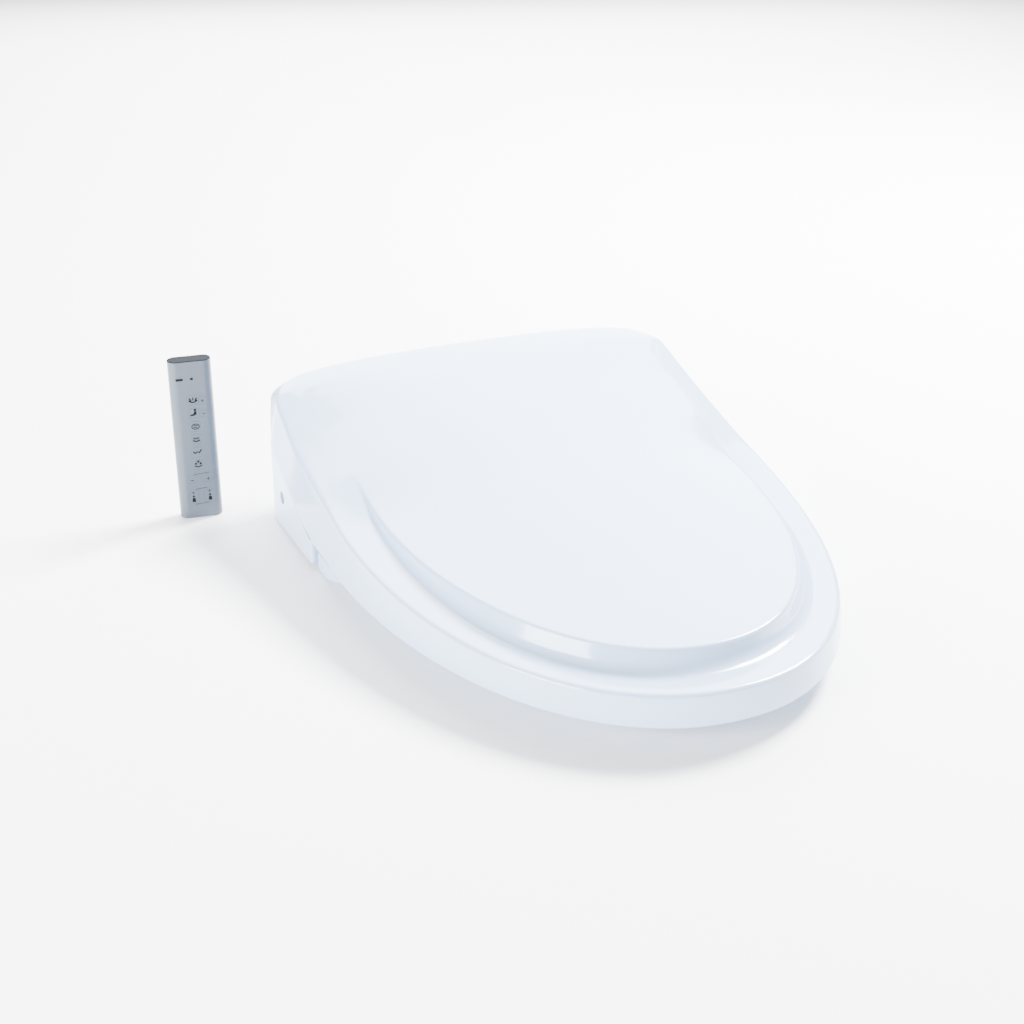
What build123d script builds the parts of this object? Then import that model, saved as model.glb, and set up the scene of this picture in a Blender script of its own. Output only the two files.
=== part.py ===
"""Electric bidet seat with its hand remote, in millimetres.

Origin: midway between the two toilet fixing bolts, on the plane where the seat unit meets the bowl.
+X is to the right as seen from the front, -Y is towards the front tip, +Z is up.
"""

from build123d import *
import math
import os

os.makedirs("parts", exist_ok=True)

# ---------------------------------------------------------------- driving dimensions
lid_half_width = 195.0
lid_rear = 55.0
lid_front = -470.0
lid_wall = 3.0
side_end = -140.0  # where the straight sides pass into the rounded front
corner_x = 150.0  # where the rear edge passes into the rear corner
rear_bow_radius = 1189.0

pad_half_width = 157.0
pad_rear = 60.0
pad_centre = -162.6
pad_front = -433.8
curve_handle = 0.565  # handle length of a quarter ellipse drawn as one Bezier curve

case_half_width = 193.4
case_front = -101.0
case_rear = 25.0
case_corner = 20.0
case_wall = 2.5
housing_half_width = 158.0
case_front_round = 3.0

hinge_y = 14.0
hinge_z = 96.0
shaft_radius = 4.0
running_clearance = 0.05
knuckle_radius = 10.0
arm_inner = 160.0
arm_outer = 168.0
lid_knuckle_inner = 170.0
lid_knuckle_outer = 177.0

seat_inset = 4.2
seat_rear = -104.0
seat_low = 16.5
seat_split = 26.0
bowl_centre = -265.0
bowl_half_width = 103.0
bowl_half_length = 143.0

bolt_spacing = 140.0
slot_width = 9.0
slot_length = 20.0
base_plate_thickness = 3.0
floor_low = 3.2
floor_high = 5.7

wand_radius = 8.0
wand_length = 118.0
wand_angle = 20.0
wand_tip_length = 22.0
wand_nose = (0.0, -99.0, 34.0)
roller_radius = 7.5
roller_station = 60.0  # distance of the drive roller behind the wand's nose

remote_width = 36.8
remote_depth = 14.6
remote_height = 146.0
remote_wall = 1.8
remote_cap = 0.7
remote_foot = (-251.1, 40.8, 0.0)
remote_turn = -6.0
key_depth = 3.2
fit_gap = 0.3  # clearance round keys, doors and pieces that pull out

# ---------------------------------------------------------------- side profiles, as (y, z)
crease_line = [
    (-480, 45.2), (-430, 45.0), (-377, 46.1), (-340, 47.9), (-295, 50.9), (-244, 55.5),
    (-192, 61.9), (-140, 70.2), (-92, 80.3), (-50, 91.0), (-19, 101.0), (2, 108.6), (15, 113.8), (60, 118.0),
]
lid_edge_line = [
    (-480, 20.3), (-192, 22.0), (-140, 24.0), (-92, 28.5), (-50, 45.0), (-20, 60.0),
    (2, 69.0), (19, 71.0), (24, 110.5), (60, 117.6),
]
shoulder_line = [(-110, 24.5), (-92, 27.5), (-50, 44.0), (-20, 59.0), (2, 68.0), (30, 70.0)]
housing_line = [(-110, 67.1), (case_front, 70.0), (8, 105.0), (16, 105.0), (case_rear, 99.0), (30, 95.6)]
seat_top_line = [(-480, 37.0), (-377, 39.0), (-295, 43.5), (-192, 53.5), (-140, 61.0), (-95, 68.0)]
pad_sections = [  # y, height on the centreline, height at the pad's edge
    (-445, 62.0, 53.0), (-345, 70.0, 58.5), (-245, 82.0, 65.4), (-140, 97.0, 75.2),
    (-85, 106.0, 83.0), (-45, 113.5, 95.0), (-5, 119.5, 108.5), (25, 122.6, 116.5), (60, 124.6, 119.5),
]
ABOVE = 160.0
BELOW = -20.0
WIDE = 220.0

slope = math.radians(wand_angle)
wand_back = (0.0, math.cos(slope), math.sin(slope))
wand_up = (0.0, -math.sin(slope), math.cos(slope))

turn = math.radians(remote_turn)
remote_side = (math.cos(turn), math.sin(turn), 0.0)
remote_rear = (-math.sin(turn), math.cos(turn), 0.0)
remote_plane = Plane(origin=remote_foot, x_dir=remote_side, z_dir=(0, 0, 1))


# ---------------------------------------------------------------- helpers used by several sub-parts
def save(builder, name):
    builder.part.label = name
    export_step(builder.part, f"parts/{name}.step")


def side_block(points, x_from, x_to, mode=Mode.ADD):
    """Extrude a closed (y, z) polygon from x_from to x_to."""
    with BuildSketch(Plane.YZ.offset(x_from)) as outline:
        with BuildLine():
            Polyline(*points, close=True)
        make_face()
    extrude(outline.sketch, amount=x_to - x_from, mode=mode)


def block(x, y, z, mode=Mode.ADD):
    """A box between the pairs x, y and z."""
    with Locations(((x[0] + x[1]) / 2, (y[0] + y[1]) / 2, (z[0] + z[1]) / 2)):
        Box(x[1] - x[0], y[1] - y[0], z[1] - z[0], mode=mode)


def rod(start, way, radius, length, mode=Mode.ADD):
    """A cylinder from start along way."""
    with BuildSketch(Plane(origin=start, z_dir=way)) as disc:
        Circle(radius)
    extrude(disc.sketch, amount=length, mode=mode)


def along_wand(distance, rise=0.0, side=0.0):
    """A point that far behind the wand's nose, raised square to its axis."""
    return (
        side,
        wand_nose[1] + distance * wand_back[1] + rise * wand_up[1],
        wand_nose[2] + distance * wand_back[2] + rise * wand_up[2],
    )


def on_remote(across, depth, height):
    """A point given across the remote's face, back from its middle, and up."""
    return (
        remote_foot[0] + across * remote_side[0] + depth * remote_rear[0],
        remote_foot[1] + across * remote_side[1] + depth * remote_rear[1],
        height,
    )


def lid_outline(inset, height=0.0):
    """The lid's plan outline, moved in by inset."""
    front_handle = curve_handle * 1.055
    half = lid_half_width - inset
    side = half - 3  # the sides draw in slightly towards the front
    tip = lid_front + inset
    back = lid_rear - inset
    bow = corner_x * corner_x / (2 * rear_bow_radius)
    with BuildSketch(Plane.XY.offset(height)) as plan:
        with BuildLine():
            ThreePointArc((0, back), (corner_x / 2, back - bow / 4), (corner_x, back - bow))
            Bezier((corner_x, back - bow), (corner_x + 26, back - bow - 3.3), (half, 25), (half, -5))
            Line((half, -5), (side, side_end))
            Bezier(
                (side, side_end),
                (side - 3, side_end + front_handle * (tip - side_end)),
                (front_handle * side, tip),
                (0, tip),
            )
            mirror(about=Plane.YZ)
        make_face()
    return plan.sketch


def pad_outline(inset):
    """The plan outline of the lid's raised middle, moved in by inset."""
    half = pad_half_width - inset
    tip = pad_front + inset
    with BuildSketch(Plane.XY) as plan:
        with BuildLine():
            Line((0, pad_rear), (half, pad_rear))
            Line((half, pad_rear), (half, pad_centre))
            Bezier(
                (half, pad_centre),
                (half, pad_centre + curve_handle * (tip - pad_centre)),
                (curve_handle * half, tip),
                (0, tip),
            )
            mirror(about=Plane.YZ)
        make_face()
    return plan.sketch


def raised_part(inset, drop):
    """The crowned middle of the lid as one solid, with its surface lowered by drop."""
    with BuildPart() as crown:
        sections = []
        for y, centre, edge in pad_sections:
            with BuildSketch(Plane.XZ.offset(-y)) as section:
                with BuildLine():
                    Line((-pad_half_width, BELOW), (pad_half_width, BELOW))
                    Line((pad_half_width, BELOW), (pad_half_width, edge - drop))
                    ThreePointArc(
                        (pad_half_width, edge - drop), (0, centre - drop), (-pad_half_width, edge - drop)
                    )
                    Line((-pad_half_width, edge - drop), (-pad_half_width, BELOW))
                make_face()
            sections.append(section.sketch)
        loft(sections, ruled=True)
        extrude(pad_outline(inset), amount=ABOVE, mode=Mode.INTERSECT)
        extrude(lid_outline(inset), amount=ABOVE, mode=Mode.INTERSECT)
    return crown.part


def rim_part(inset, drop):
    """The lid's body up to the crease that runs round its top."""
    with BuildPart() as rim:
        extrude(lid_outline(inset), amount=ABOVE)
        above = [(y, z - drop) for y, z in crease_line] + [(60, ABOVE), (-480, ABOVE)]
        side_block(above, -WIDE, WIDE, Mode.SUBTRACT)
    return rim.part


def case_body(inset, drop, low_line):
    """The case's outer form, or its inner one when inset and dropped."""
    half = case_half_width - inset
    with BuildPart() as body:
        with BuildSketch() as plan:
            with BuildLine():
                Polyline(
                    (-half, case_front + inset), (half, case_front + inset),
                    (half, case_rear - inset), (-half, case_rear - inset), close=True,
                )
            make_face()
            fillet(plan.vertices().group_by(Axis.Y)[-1], case_corner - inset)
            fillet(plan.vertices().group_by(Axis.Y)[0], case_front_round - inset / 2)
        extrude(amount=ABOVE)
        over_shoulder = [(y, z - drop) for y, z in shoulder_line] + [(30, ABOVE), (-110, ABOVE)]
        over_housing = [(y, z - drop) for y, z in housing_line] + [(30, ABOVE), (-110, ABOVE)]
        side_block(over_shoulder, housing_half_width - inset, WIDE, Mode.SUBTRACT)
        side_block(over_shoulder, -WIDE, inset - housing_half_width, Mode.SUBTRACT)
        side_block(over_housing, -WIDE, WIDE, Mode.SUBTRACT)
        side_block(low_line, -WIDE, WIDE, Mode.SUBTRACT)
    return body.part


# ---------------------------------------------------------------- mounting plate
with BuildPart() as base_plate:
    with BuildSketch() as plan:
        with Locations((0, -10)):
            RectangleRounded(200, 56, 8)
    extrude(amount=base_plate_thickness)
    with BuildSketch() as slots:
        with Locations((-bolt_spacing / 2, 0), (bolt_spacing / 2, 0)):
            SlotOverall(slot_length, slot_width)
    extrude(amount=base_plate_thickness, mode=Mode.SUBTRACT)
save(base_plate, "base_plate")

# ---------------------------------------------------------------- case, lower tray
screw_places = [(-172, -88), (172, -88), (-172, 4), (172, 4)]
tray_half = case_half_width - case_wall - 0.3

with BuildPart() as lower_case:
    with BuildSketch(Plane.XY.offset(floor_low)) as plan:
        with Locations((0, (case_front + case_rear) / 2)):
            RectangleRounded(2 * tray_half, case_rear - case_front - 5.6, 17)
    extrude(amount=5.3)
    with BuildSketch(Plane.XY.offset(floor_high)) as inside:
        with Locations((0, (case_front + case_rear) / 2)):
            RectangleRounded(2 * tray_half - 4.4, case_rear - case_front - 10, 15)
    extrude(amount=5.3, mode=Mode.SUBTRACT)
    with BuildSketch() as windows:
        with Locations((-bolt_spacing / 2, 0), (bolt_spacing / 2, 0)):
            SlotOverall(32, 18)
    extrude(amount=floor_high, mode=Mode.SUBTRACT)
    for x, y in screw_places:
        rod((x, y, 0), (0, 0, 1), 1.5, floor_high, Mode.SUBTRACT)
save(lower_case, "lower_case")

# ---------------------------------------------------------------- case, upper cover
plug_place = (-case_half_width, -19.5, 30.6)
inlet_place = (-145.0, case_rear, 30.0)
gland_place = (130.0, case_rear, 30.0)
inlet_radius = 10.38  # half-inch pipe thread, outside
lamp_place = (-36.0, case_front, 34.0)
outlet_x = (22.0, 54.0)
outlet_z = (26.0, 40.6)
bezel_x = (-18.0, 18.0)
bezel_z = (20.0, 50.0)
cartridge_y = (-64.0, -26.0)
cartridge_z = (10.5, 31.5)
button_y = (-8.0, 12.0)
button_z = (12.0, 21.0)

outer_low = [(40, BELOW), (40, 0.0), (12, 0.0), (-110, 5.5), (-110, BELOW)]
inner_low = [(40, BELOW), (40, BELOW + 5), (-110, BELOW + 5), (-110, BELOW)]
case_outside = case_body(0.0, 0.0, outer_low)
case_inside = case_body(case_wall, case_wall, inner_low)

with BuildPart() as upper_case:
    add(case_outside)
    add(case_inside, mode=Mode.SUBTRACT)
    block(bezel_x, (case_front - 2, case_front + 5), bezel_z, Mode.SUBTRACT)
    block(outlet_x, (case_front - 2, case_front + 5), outlet_z, Mode.SUBTRACT)
    side_gap = (case_half_width - 6, case_half_width + 2)
    block(side_gap, (cartridge_y[0] - fit_gap, cartridge_y[1] + fit_gap),
          (cartridge_z[0] - fit_gap, cartridge_z[1] + fit_gap), Mode.SUBTRACT)
    block(side_gap, (button_y[0] - fit_gap, button_y[1] + fit_gap),
          (button_z[0] - fit_gap, button_z[1] + fit_gap), Mode.SUBTRACT)
    rod((plug_place[0] - 2, plug_place[1], plug_place[2]), (1, 0, 0), 5.8, 8, Mode.SUBTRACT)
    rod((inlet_place[0], case_rear + 2, inlet_place[2]), (0, -1, 0), inlet_radius, 8, Mode.SUBTRACT)
    rod((gland_place[0], case_rear + 2, gland_place[2]), (0, -1, 0), 6.0, 8, Mode.SUBTRACT)
    rod((lamp_place[0], case_front - 2, lamp_place[2]), (0, 1, 0), 4.0, 8, Mode.SUBTRACT)
    for x_start in (-housing_half_width - 2, housing_half_width - 6):
        rod((x_start, hinge_y, hinge_z), (1, 0, 0), shaft_radius, 8, Mode.SUBTRACT)
save(upper_case, "upper_case")

with BuildPart() as front_bezel:
    block(bezel_x, (case_front - 0.6, case_front + case_wall), bezel_z)
    rod(along_wand(-20), wand_back, wand_radius + 1.5, 60, Mode.SUBTRACT)
    chamfer(front_bezel.faces().sort_by(Axis.Y)[0].edges().filter_by(GeomType.LINE), 0.5)
save(front_bezel, "front_bezel")

with BuildPart() as drain_plug:
    rod((plug_place[0] + 3.0, plug_place[1], plug_place[2]), (1, 0, 0), 5.6, 12)
    rod((plug_place[0] + 15.0, plug_place[1], plug_place[2]), (1, 0, 0), 4.0, 10)
    block((plug_place[0], plug_place[0] + 4.2), (plug_place[1] - 5, plug_place[1] + 5),
          (plug_place[2] - 0.8, plug_place[2] + 0.8), Mode.SUBTRACT)
save(drain_plug, "drain_plug")

with BuildPart() as night_light_lens:
    rod((lamp_place[0], case_front - 0.5, lamp_place[2]), (0, 1, 0), 4.0, 3.0)
    fillet(night_light_lens.edges().group_by(Axis.Y)[0], 0.4)
save(night_light_lens, "night_light_lens")

with BuildPart() as case_screws:
    for x, y in screw_places:
        rod((x, y, 1.2), (0, 0, 1), 3.4, 2.0)
        rod((x, y, floor_low), (0, 0, 1), 1.5, 9)
save(case_screws, "case_screws")

with BuildPart() as base_pads:
    with BuildSketch() as pads:
        with Locations((-148, -80), (148, -80), (-148, 6), (148, 6)):
            SlotOverall(26, 12)
    extrude(amount=floor_low)
save(base_pads, "base_pads")

# ---------------------------------------------------------------- water side
with BuildPart() as water_inlet:
    rod((inlet_place[0], case_rear + 14, inlet_place[2]), (0, -1, 0), inlet_radius, 26)
    rod((inlet_place[0], case_rear + 2.0, inlet_place[2]), (0, -1, 0), 13.0, 2.0)
    rod((inlet_place[0], case_rear + 15, inlet_place[2]), (0, -1, 0), 6.0, 20, Mode.SUBTRACT)
save(water_inlet, "water_inlet")

with BuildPart() as solenoid_valve:
    block((-157, -133), (-12, 12.6), (18, 42))
    fillet(solenoid_valve.edges().filter_by(Axis.Z), 3)
    rod((-145, 0, 42), (0, 0, 1), 9.5, 22)
    rod((-145, 0, 64), (0, 0, 1), 4.0, 3)
save(solenoid_valve, "solenoid_valve")

with BuildPart() as heater_tank:
    block((-98, -30), (-60, 10), (27, 70))
    fillet(heater_tank.edges().filter_by(Axis.Z), 8)
    fillet(heater_tank.faces().sort_by(Axis.Z)[-1].edges(), 3)
    rod((-64, -25, 70), (0, 0, 1), 9, 6)
save(heater_tank, "heater_tank")

with BuildPart() as water_pump:
    rod((-150, -45, 30), (1, 0, 0), 14, 26)
    rod((-124, -45, 30), (1, 0, 0), 11, 12)
    fillet(water_pump.edges().group_by(Axis.X)[0], 2)
save(water_pump, "water_pump")

with BuildPart() as water_hoses:
    hose_radius = 3.0
    rod((-145, -12, 30), (0, -1, 0), hose_radius, 19)
    rod((-112, -45, 30), (1, 0, 0), hose_radius, 14)
    with BuildLine() as route:
        FilletPolyline((-64, -60, 40), (-64, -80, 40), (-13, -80, 40), radius=11)
    with BuildSketch(Plane(origin=(-64, -60, 40), z_dir=(0, -1, 0))) as bore:
        Circle(hose_radius)
    sweep(bore.sketch, path=route.line)
save(water_hoses, "water_hoses")

# ---------------------------------------------------------------- wand and its drive
with BuildPart() as wand_guide:
    with BuildSketch(Plane(origin=along_wand(9), x_dir=(1, 0, 0), z_dir=wand_back)) as tube:
        RectangleRounded(26, 24, 4)
        Circle(wand_radius + 0.8, mode=Mode.SUBTRACT)
    extrude(amount=92)
    with BuildSketch(Plane(origin=along_wand(roller_station), x_dir=(1, 0, 0), z_dir=wand_up)) as window:
        Rectangle(14, 20)
    extrude(amount=20, mode=Mode.SUBTRACT)
save(wand_guide, "wand_guide")

with BuildPart() as wand_tube:
    rod(along_wand(wand_tip_length), wand_back, wand_radius, wand_length - wand_tip_length)
    rod(along_wand(wand_tip_length), wand_back, 5.0, wand_length, Mode.SUBTRACT)
save(wand_tube, "wand_tube")

with BuildPart() as wand_tip:
    rod(along_wand(0), wand_back, wand_radius, wand_tip_length)
    rod(along_wand(8.0, 4.0), wand_up, 1.2, 10, Mode.SUBTRACT)
    rod(along_wand(14.0, 4.0), wand_up, 1.2, 10, Mode.SUBTRACT)
save(wand_tip, "wand_tip")

roller_rise = wand_radius + 0.3 + roller_radius
with BuildPart() as wand_roller:
    rod(along_wand(roller_station, roller_rise, -5), (1, 0, 0), roller_radius, 10)
    rod(along_wand(roller_station, roller_rise, 5), (1, 0, 0), 1.5, 8)
save(wand_roller, "wand_roller")

with BuildPart() as wand_motor:
    rod(along_wand(roller_station, roller_rise, 13.4), (1, 0, 0), 9.5, 20)
save(wand_motor, "wand_motor")

# ---------------------------------------------------------------- warm-air dryer
fan_place = (52.0, -34.0)
fan_low, fan_high = 26.0, 54.0
fan_wall = 2.0

with BuildPart() as dryer_housing:
    rod((*fan_place, fan_low), (0, 0, 1), 31, fan_high - fan_low)
    block((outlet_x[0] - 2, outlet_x[1] + 2), (case_front + case_wall, fan_place[1] - 22),
          (fan_low - 1.5, 42.5))
    rod((*fan_place, fan_low + fan_wall), (0, 0, 1), 29, fan_high - fan_low - 2 * fan_wall, Mode.SUBTRACT)
    block((outlet_x[0], outlet_x[1]), (case_front, fan_place[1] - 20), (28.0, 40.0), Mode.SUBTRACT)
    rod((*fan_place, fan_high - 4), (0, 0, 1), 12, 8, Mode.SUBTRACT)
    rod((*fan_place, fan_low - 2), (0, 0, 1), 2.3, 8, Mode.SUBTRACT)
save(dryer_housing, "dryer_housing")

with BuildPart() as dryer_motor:
    rod((*fan_place, 9), (0, 0, 1), 13, 16.4)
save(dryer_motor, "dryer_motor")

with BuildPart() as dryer_impeller:
    rod((*fan_place, 30), (0, 0, 1), 24, 1.6)
    rod((*fan_place, 30), (0, 0, 1), 6, 12)
    with Locations((*fan_place, 38.5)):
        with PolarLocations(19.5, 16):
            Box(8, 1.4, 14)
save(dryer_impeller, "dryer_impeller")

flap_pin = (case_front + 1.0, 39.2)
with BuildPart() as dryer_flap:
    block((outlet_x[0] + 0.4, outlet_x[1] - 0.4), (case_front + 0.1, case_front + 1.9), (26.5, flap_pin[1]))
    rod((outlet_x[0] + 0.4, *flap_pin), (1, 0, 0), 0.9, outlet_x[1] - outlet_x[0] - 0.8)
save(dryer_flap, "dryer_flap")

# ---------------------------------------------------------------- electrics
with BuildPart() as control_board:
    block((102, 104), (-84, 8), (10, 62))
    for y, z, size in [(-66, 24, 14), (-40, 44, 18), (-12, 26, 16), (-66, 50, 8)]:
        block((98, 102), (y - size / 2, y + size / 2), (z - size / 2, z + size / 2))
save(control_board, "control_board")

with BuildPart() as power_supply:
    block((110, 146), (-60, 4), (10, 54))
    fillet(power_supply.edges().filter_by(Axis.Z), 3)
save(power_supply, "power_supply")

with BuildPart() as power_cord_gland:
    rod((gland_place[0], case_rear, gland_place[2]), (0, -1, 0), 6.0, 14)
    with BuildSketch(Plane(origin=gland_place, z_dir=(0, 1, 0))) as wide_end:
        Circle(8.5)
    with BuildSketch(Plane(origin=gland_place, z_dir=(0, 1, 0)).offset(22)) as narrow_end:
        Circle(5.0)
    loft([wide_end.sketch, narrow_end.sketch])
    rod((gland_place[0], case_rear + 23, gland_place[2]), (0, -1, 0), 3.4, 12, Mode.SUBTRACT)
save(power_cord_gland, "power_cord_gland")

# ---------------------------------------------------------------- odour filter, a cartridge pulled out sideways
with BuildPart() as deodoriser_housing:
    block((151, 190.4), (cartridge_y[0] - 2, cartridge_y[1] + 2), (cartridge_z[0] - 1.9, cartridge_z[1] + 2))
    block((153, 191), (cartridge_y[0] - fit_gap, cartridge_y[1] + fit_gap),
          (cartridge_z[0] - fit_gap, cartridge_z[1] + fit_gap), Mode.SUBTRACT)
save(deodoriser_housing, "deodoriser_housing")

with BuildPart() as deodoriser_cartridge:
    block((153.5, case_half_width), cartridge_y, cartridge_z)
    fillet(deodoriser_cartridge.edges().filter_by(Axis.X), 1.5)
    for z in (15.5, 21.0, 26.5):
        block((case_half_width - 1.2, case_half_width + 1), (-58, -32), (z - 1.0, z + 1.0), Mode.SUBTRACT)
save(deodoriser_cartridge, "deodoriser_cartridge")

with BuildPart() as release_button:
    block((184, case_half_width + 0.8), button_y, button_z)
    fillet(release_button.edges().filter_by(Axis.X), 2)
    fillet(release_button.edges().group_by(Axis.X)[-1], 0.6)
save(release_button, "release_button")

# ---------------------------------------------------------------- hinges
with BuildPart() as hinge_shafts:
    for way in (-1, 1):
        rod((way * 148, hinge_y, hinge_z), (way, 0, 0), shaft_radius, lid_knuckle_outer + 1 - 148)
save(hinge_shafts, "hinge_shafts")

with BuildPart() as soft_close_dampers:
    for way in (-1, 1):
        rod((way * 116, hinge_y - 1, hinge_z - 2), (way, 0, 0), 7.0, 32)
save(soft_close_dampers, "soft_close_dampers")

# ---------------------------------------------------------------- seat
arm_line = [
    (-118, 40), (-104, 40), (-50, 50), (-20, 65), (4, 80), (hinge_y, hinge_z - 5),
    (hinge_y, hinge_z + 5), (4, 101), (-20, 92), (-50, 80), (-104, 65), (-118, 60),
]


def seat_ring(low, high):
    """The seat's plan between two heights, open over the bowl and cut off in front of the case."""
    with BuildPart() as ring:
        extrude(lid_outline(seat_inset, low), amount=high - low)
        block((-WIDE, WIDE), (seat_rear, 100), (BELOW, ABOVE), Mode.SUBTRACT)
        with BuildSketch(Plane.XY.offset(BELOW)) as bowl:
            with Locations((0, bowl_centre)):
                Ellipse(bowl_half_width, bowl_half_length)
        extrude(bowl.sketch, amount=ABOVE, mode=Mode.SUBTRACT)
    return ring.part


upper_ring = seat_ring(seat_split, 90.0)
lower_ring = seat_ring(seat_low, seat_split)
heater_low, heater_high = seat_split, seat_split + 1.5

with BuildPart() as seat_heater:
    extrude(lid_outline(24.0, heater_low), amount=heater_high - heater_low)
    block((-WIDE, WIDE), (-150, 100), (BELOW, ABOVE), Mode.SUBTRACT)
    with BuildSketch(Plane.XY.offset(BELOW)) as bowl:
        with Locations((0, bowl_centre)):
            Ellipse(bowl_half_width + 14, bowl_half_length + 14)
    extrude(amount=ABOVE, mode=Mode.SUBTRACT)
save(seat_heater, "seat_heater")

with BuildPart() as seat_top:
    add(upper_ring)
    side_block(seat_top_line + [(-95, ABOVE), (-480, ABOVE)], -WIDE, WIDE, Mode.SUBTRACT)
    block((-60, 60), (-130, -100), (0, 46), Mode.SUBTRACT)
    add(seat_heater.part, mode=Mode.SUBTRACT)
    for side in (-1, 1):
        low_x = min(side * arm_inner, side * arm_outer)
        side_block(arm_line, low_x, low_x + arm_outer - arm_inner)
        rod((low_x, hinge_y, hinge_z), (1, 0, 0), knuckle_radius, arm_outer - arm_inner)
        rod((low_x - 1, hinge_y, hinge_z), (1, 0, 0), shaft_radius + running_clearance, 10, Mode.SUBTRACT)
save(seat_top, "seat_top")

with BuildPart() as seat_base:
    add(lower_ring)
    block((-60, 60), (-130, -100), (0, 46), Mode.SUBTRACT)
save(seat_base, "seat_base")

corner_low = 1.2
corner_front = -164.0  # where the deep rear corner has run out into the seat's underside
corner_inner = 150.0
with BuildPart() as seat_rear_corners:
    for side in (-1, 1):
        with BuildSketch(Plane.YZ.offset(min(side * corner_inner, side * WIDE))) as profile:
            with BuildLine():
                Line((seat_rear, seat_low), (seat_rear, 6))
                ThreePointArc((seat_rear, 6), (seat_rear - 1.4, 2.6), (seat_rear - 5, corner_low))
                Line((seat_rear - 5, corner_low), (seat_rear - 14, corner_low))
                Bezier(
                    (seat_rear - 14, corner_low), (seat_rear - 26, corner_low),
                    (corner_front + 19, 8), (corner_front, seat_low),
                )
                Line((corner_front, seat_low), (seat_rear, seat_low))
            make_face()
        extrude(profile.sketch, amount=WIDE - corner_inner)
    extrude(lid_outline(seat_inset), amount=seat_low, mode=Mode.INTERSECT)
save(seat_rear_corners, "seat_rear_corners")

with BuildPart() as seat_bumpers:
    with BuildSketch() as pads:
        with Locations((-140, -205), (140, -205), (-56, -394), (56, -394)):
            SlotOverall(32, 14)
    extrude(amount=seat_low)
    fillet(seat_bumpers.faces().sort_by(Axis.Z)[:4].edges(), 2)
save(seat_bumpers, "seat_bumpers")

# ---------------------------------------------------------------- lid
lid_rim_outer = rim_part(0.0, 0.0)
lid_raised_outer = raised_part(0.0, 0.0)
lid_rim_inner = rim_part(lid_wall, lid_wall)
lid_raised_inner = raised_part(lid_wall, lid_wall)
under_lid = lid_edge_line + [(60, BELOW), (-480, BELOW)]

with BuildPart() as lid_shell:
    add(lid_rim_outer)
    add(lid_raised_outer)
    add(lid_rim_inner, mode=Mode.SUBTRACT)
    add(lid_raised_inner, mode=Mode.SUBTRACT)
    side_block(under_lid, -WIDE, WIDE, Mode.SUBTRACT)
    for side in (-1, 1):
        low_x = min(side * lid_knuckle_inner, side * lid_knuckle_outer)
        width = lid_knuckle_outer - lid_knuckle_inner
        rib = [(hinge_y - knuckle_radius, hinge_z), (hinge_y + knuckle_radius, hinge_z), (20, 112), (4, 108)]
        side_block(rib, low_x, low_x + width)
        rod((low_x, hinge_y, hinge_z), (1, 0, 0), knuckle_radius, width)
        rod((low_x - 1, hinge_y, hinge_z), (1, 0, 0), shaft_radius + running_clearance, 10, Mode.SUBTRACT)
save(lid_shell, "lid_shell")

with BuildPart() as lid_bumpers:
    for x, y, low, high in [(172, -190, 55.2, 61.0), (70, -432, 38.6, 43.5)]:
        for side in (-1, 1):
            rod((side * x, y, low), (0, 0, 1), 5.5, high - low)
save(lid_bumpers, "lid_bumpers")

# ---------------------------------------------------------------- remote
key_plan = {  # across the face, height, width, height of the key
    "key_rear_wash": (0.0, 110.8, 9.0, 8.6),
    "key_front_wash": (0.0, 98.7, 9.0, 8.6),
    "key_wide_wash": (0.3, 86.5, 9.0, 8.6),
    "key_pulse": (0.3, 74.4, 9.0, 8.6),
    "key_dryer": (0.3, 62.4, 9.0, 8.6),
    "key_stop": (0.3, 50.8, 9.0, 8.6),
    "key_pressure_up": (8.0, 109.4, 5.0, 6.5),
    "key_pressure_down": (8.0, 97.4, 5.0, 6.5),
    "key_warmer_less": (-6.4, 37.5, 9.0, 6.5),
    "key_warmer_more": (7.0, 37.5, 8.0, 6.5),
    "key_wand_back": (-6.4, 20.6, 8.0, 11.0),
    "key_wand_forward": (7.4, 20.6, 8.0, 11.0),
}
panel_plan = {"remote_display": (-10.0, 130.0, 6.2, 2.2), "remote_lamp": (0.4, 130.0, 2.4, 2.4)}
face_depth = -remote_depth / 2
door_half_width = 10.5
door_z = (36.0, 94.0)


def on_face(across, height, depth):
    """A plane square to the remote's face, pointing into it."""
    return Plane(origin=on_remote(across, depth, height), x_dir=(0, 0, 1), z_dir=remote_rear)


def face_block(across, height, width, tall, depth, length, mode=Mode.ADD):
    """A rounded block let into the face from depth, running back by length."""
    with BuildSketch(on_face(across, height, depth)) as shape:
        RectangleRounded(tall, width, min(width, tall) / 4)
    extrude(shape.sketch, amount=length, mode=mode)


with BuildPart() as remote_shell:
    with BuildSketch(remote_plane) as outside:
        SlotOverall(remote_width, remote_depth)
    extrude(amount=remote_height - remote_cap)
    fillet(remote_shell.faces().sort_by(Axis.Z)[0].edges(), 1.5)
    with BuildSketch(remote_plane.offset(2.5)) as inside:
        SlotOverall(remote_width - 2 * remote_wall, remote_depth - 2 * remote_wall)
    extrude(amount=remote_height, mode=Mode.SUBTRACT)
    for across, height, width, tall in key_plan.values():
        face_block(across, height, width + 2 * fit_gap, tall + 2 * fit_gap, face_depth - 1, 5, Mode.SUBTRACT)
    for across, height, width, tall in panel_plan.values():
        face_block(across, height, width, tall, face_depth - 1, 5, Mode.SUBTRACT)
    face_block(0, sum(door_z) / 2, 2 * door_half_width + 2 * fit_gap, door_z[1] - door_z[0] + 2 * fit_gap,
               2.0, 10, Mode.SUBTRACT)
save(remote_shell, "remote_shell")

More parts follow.
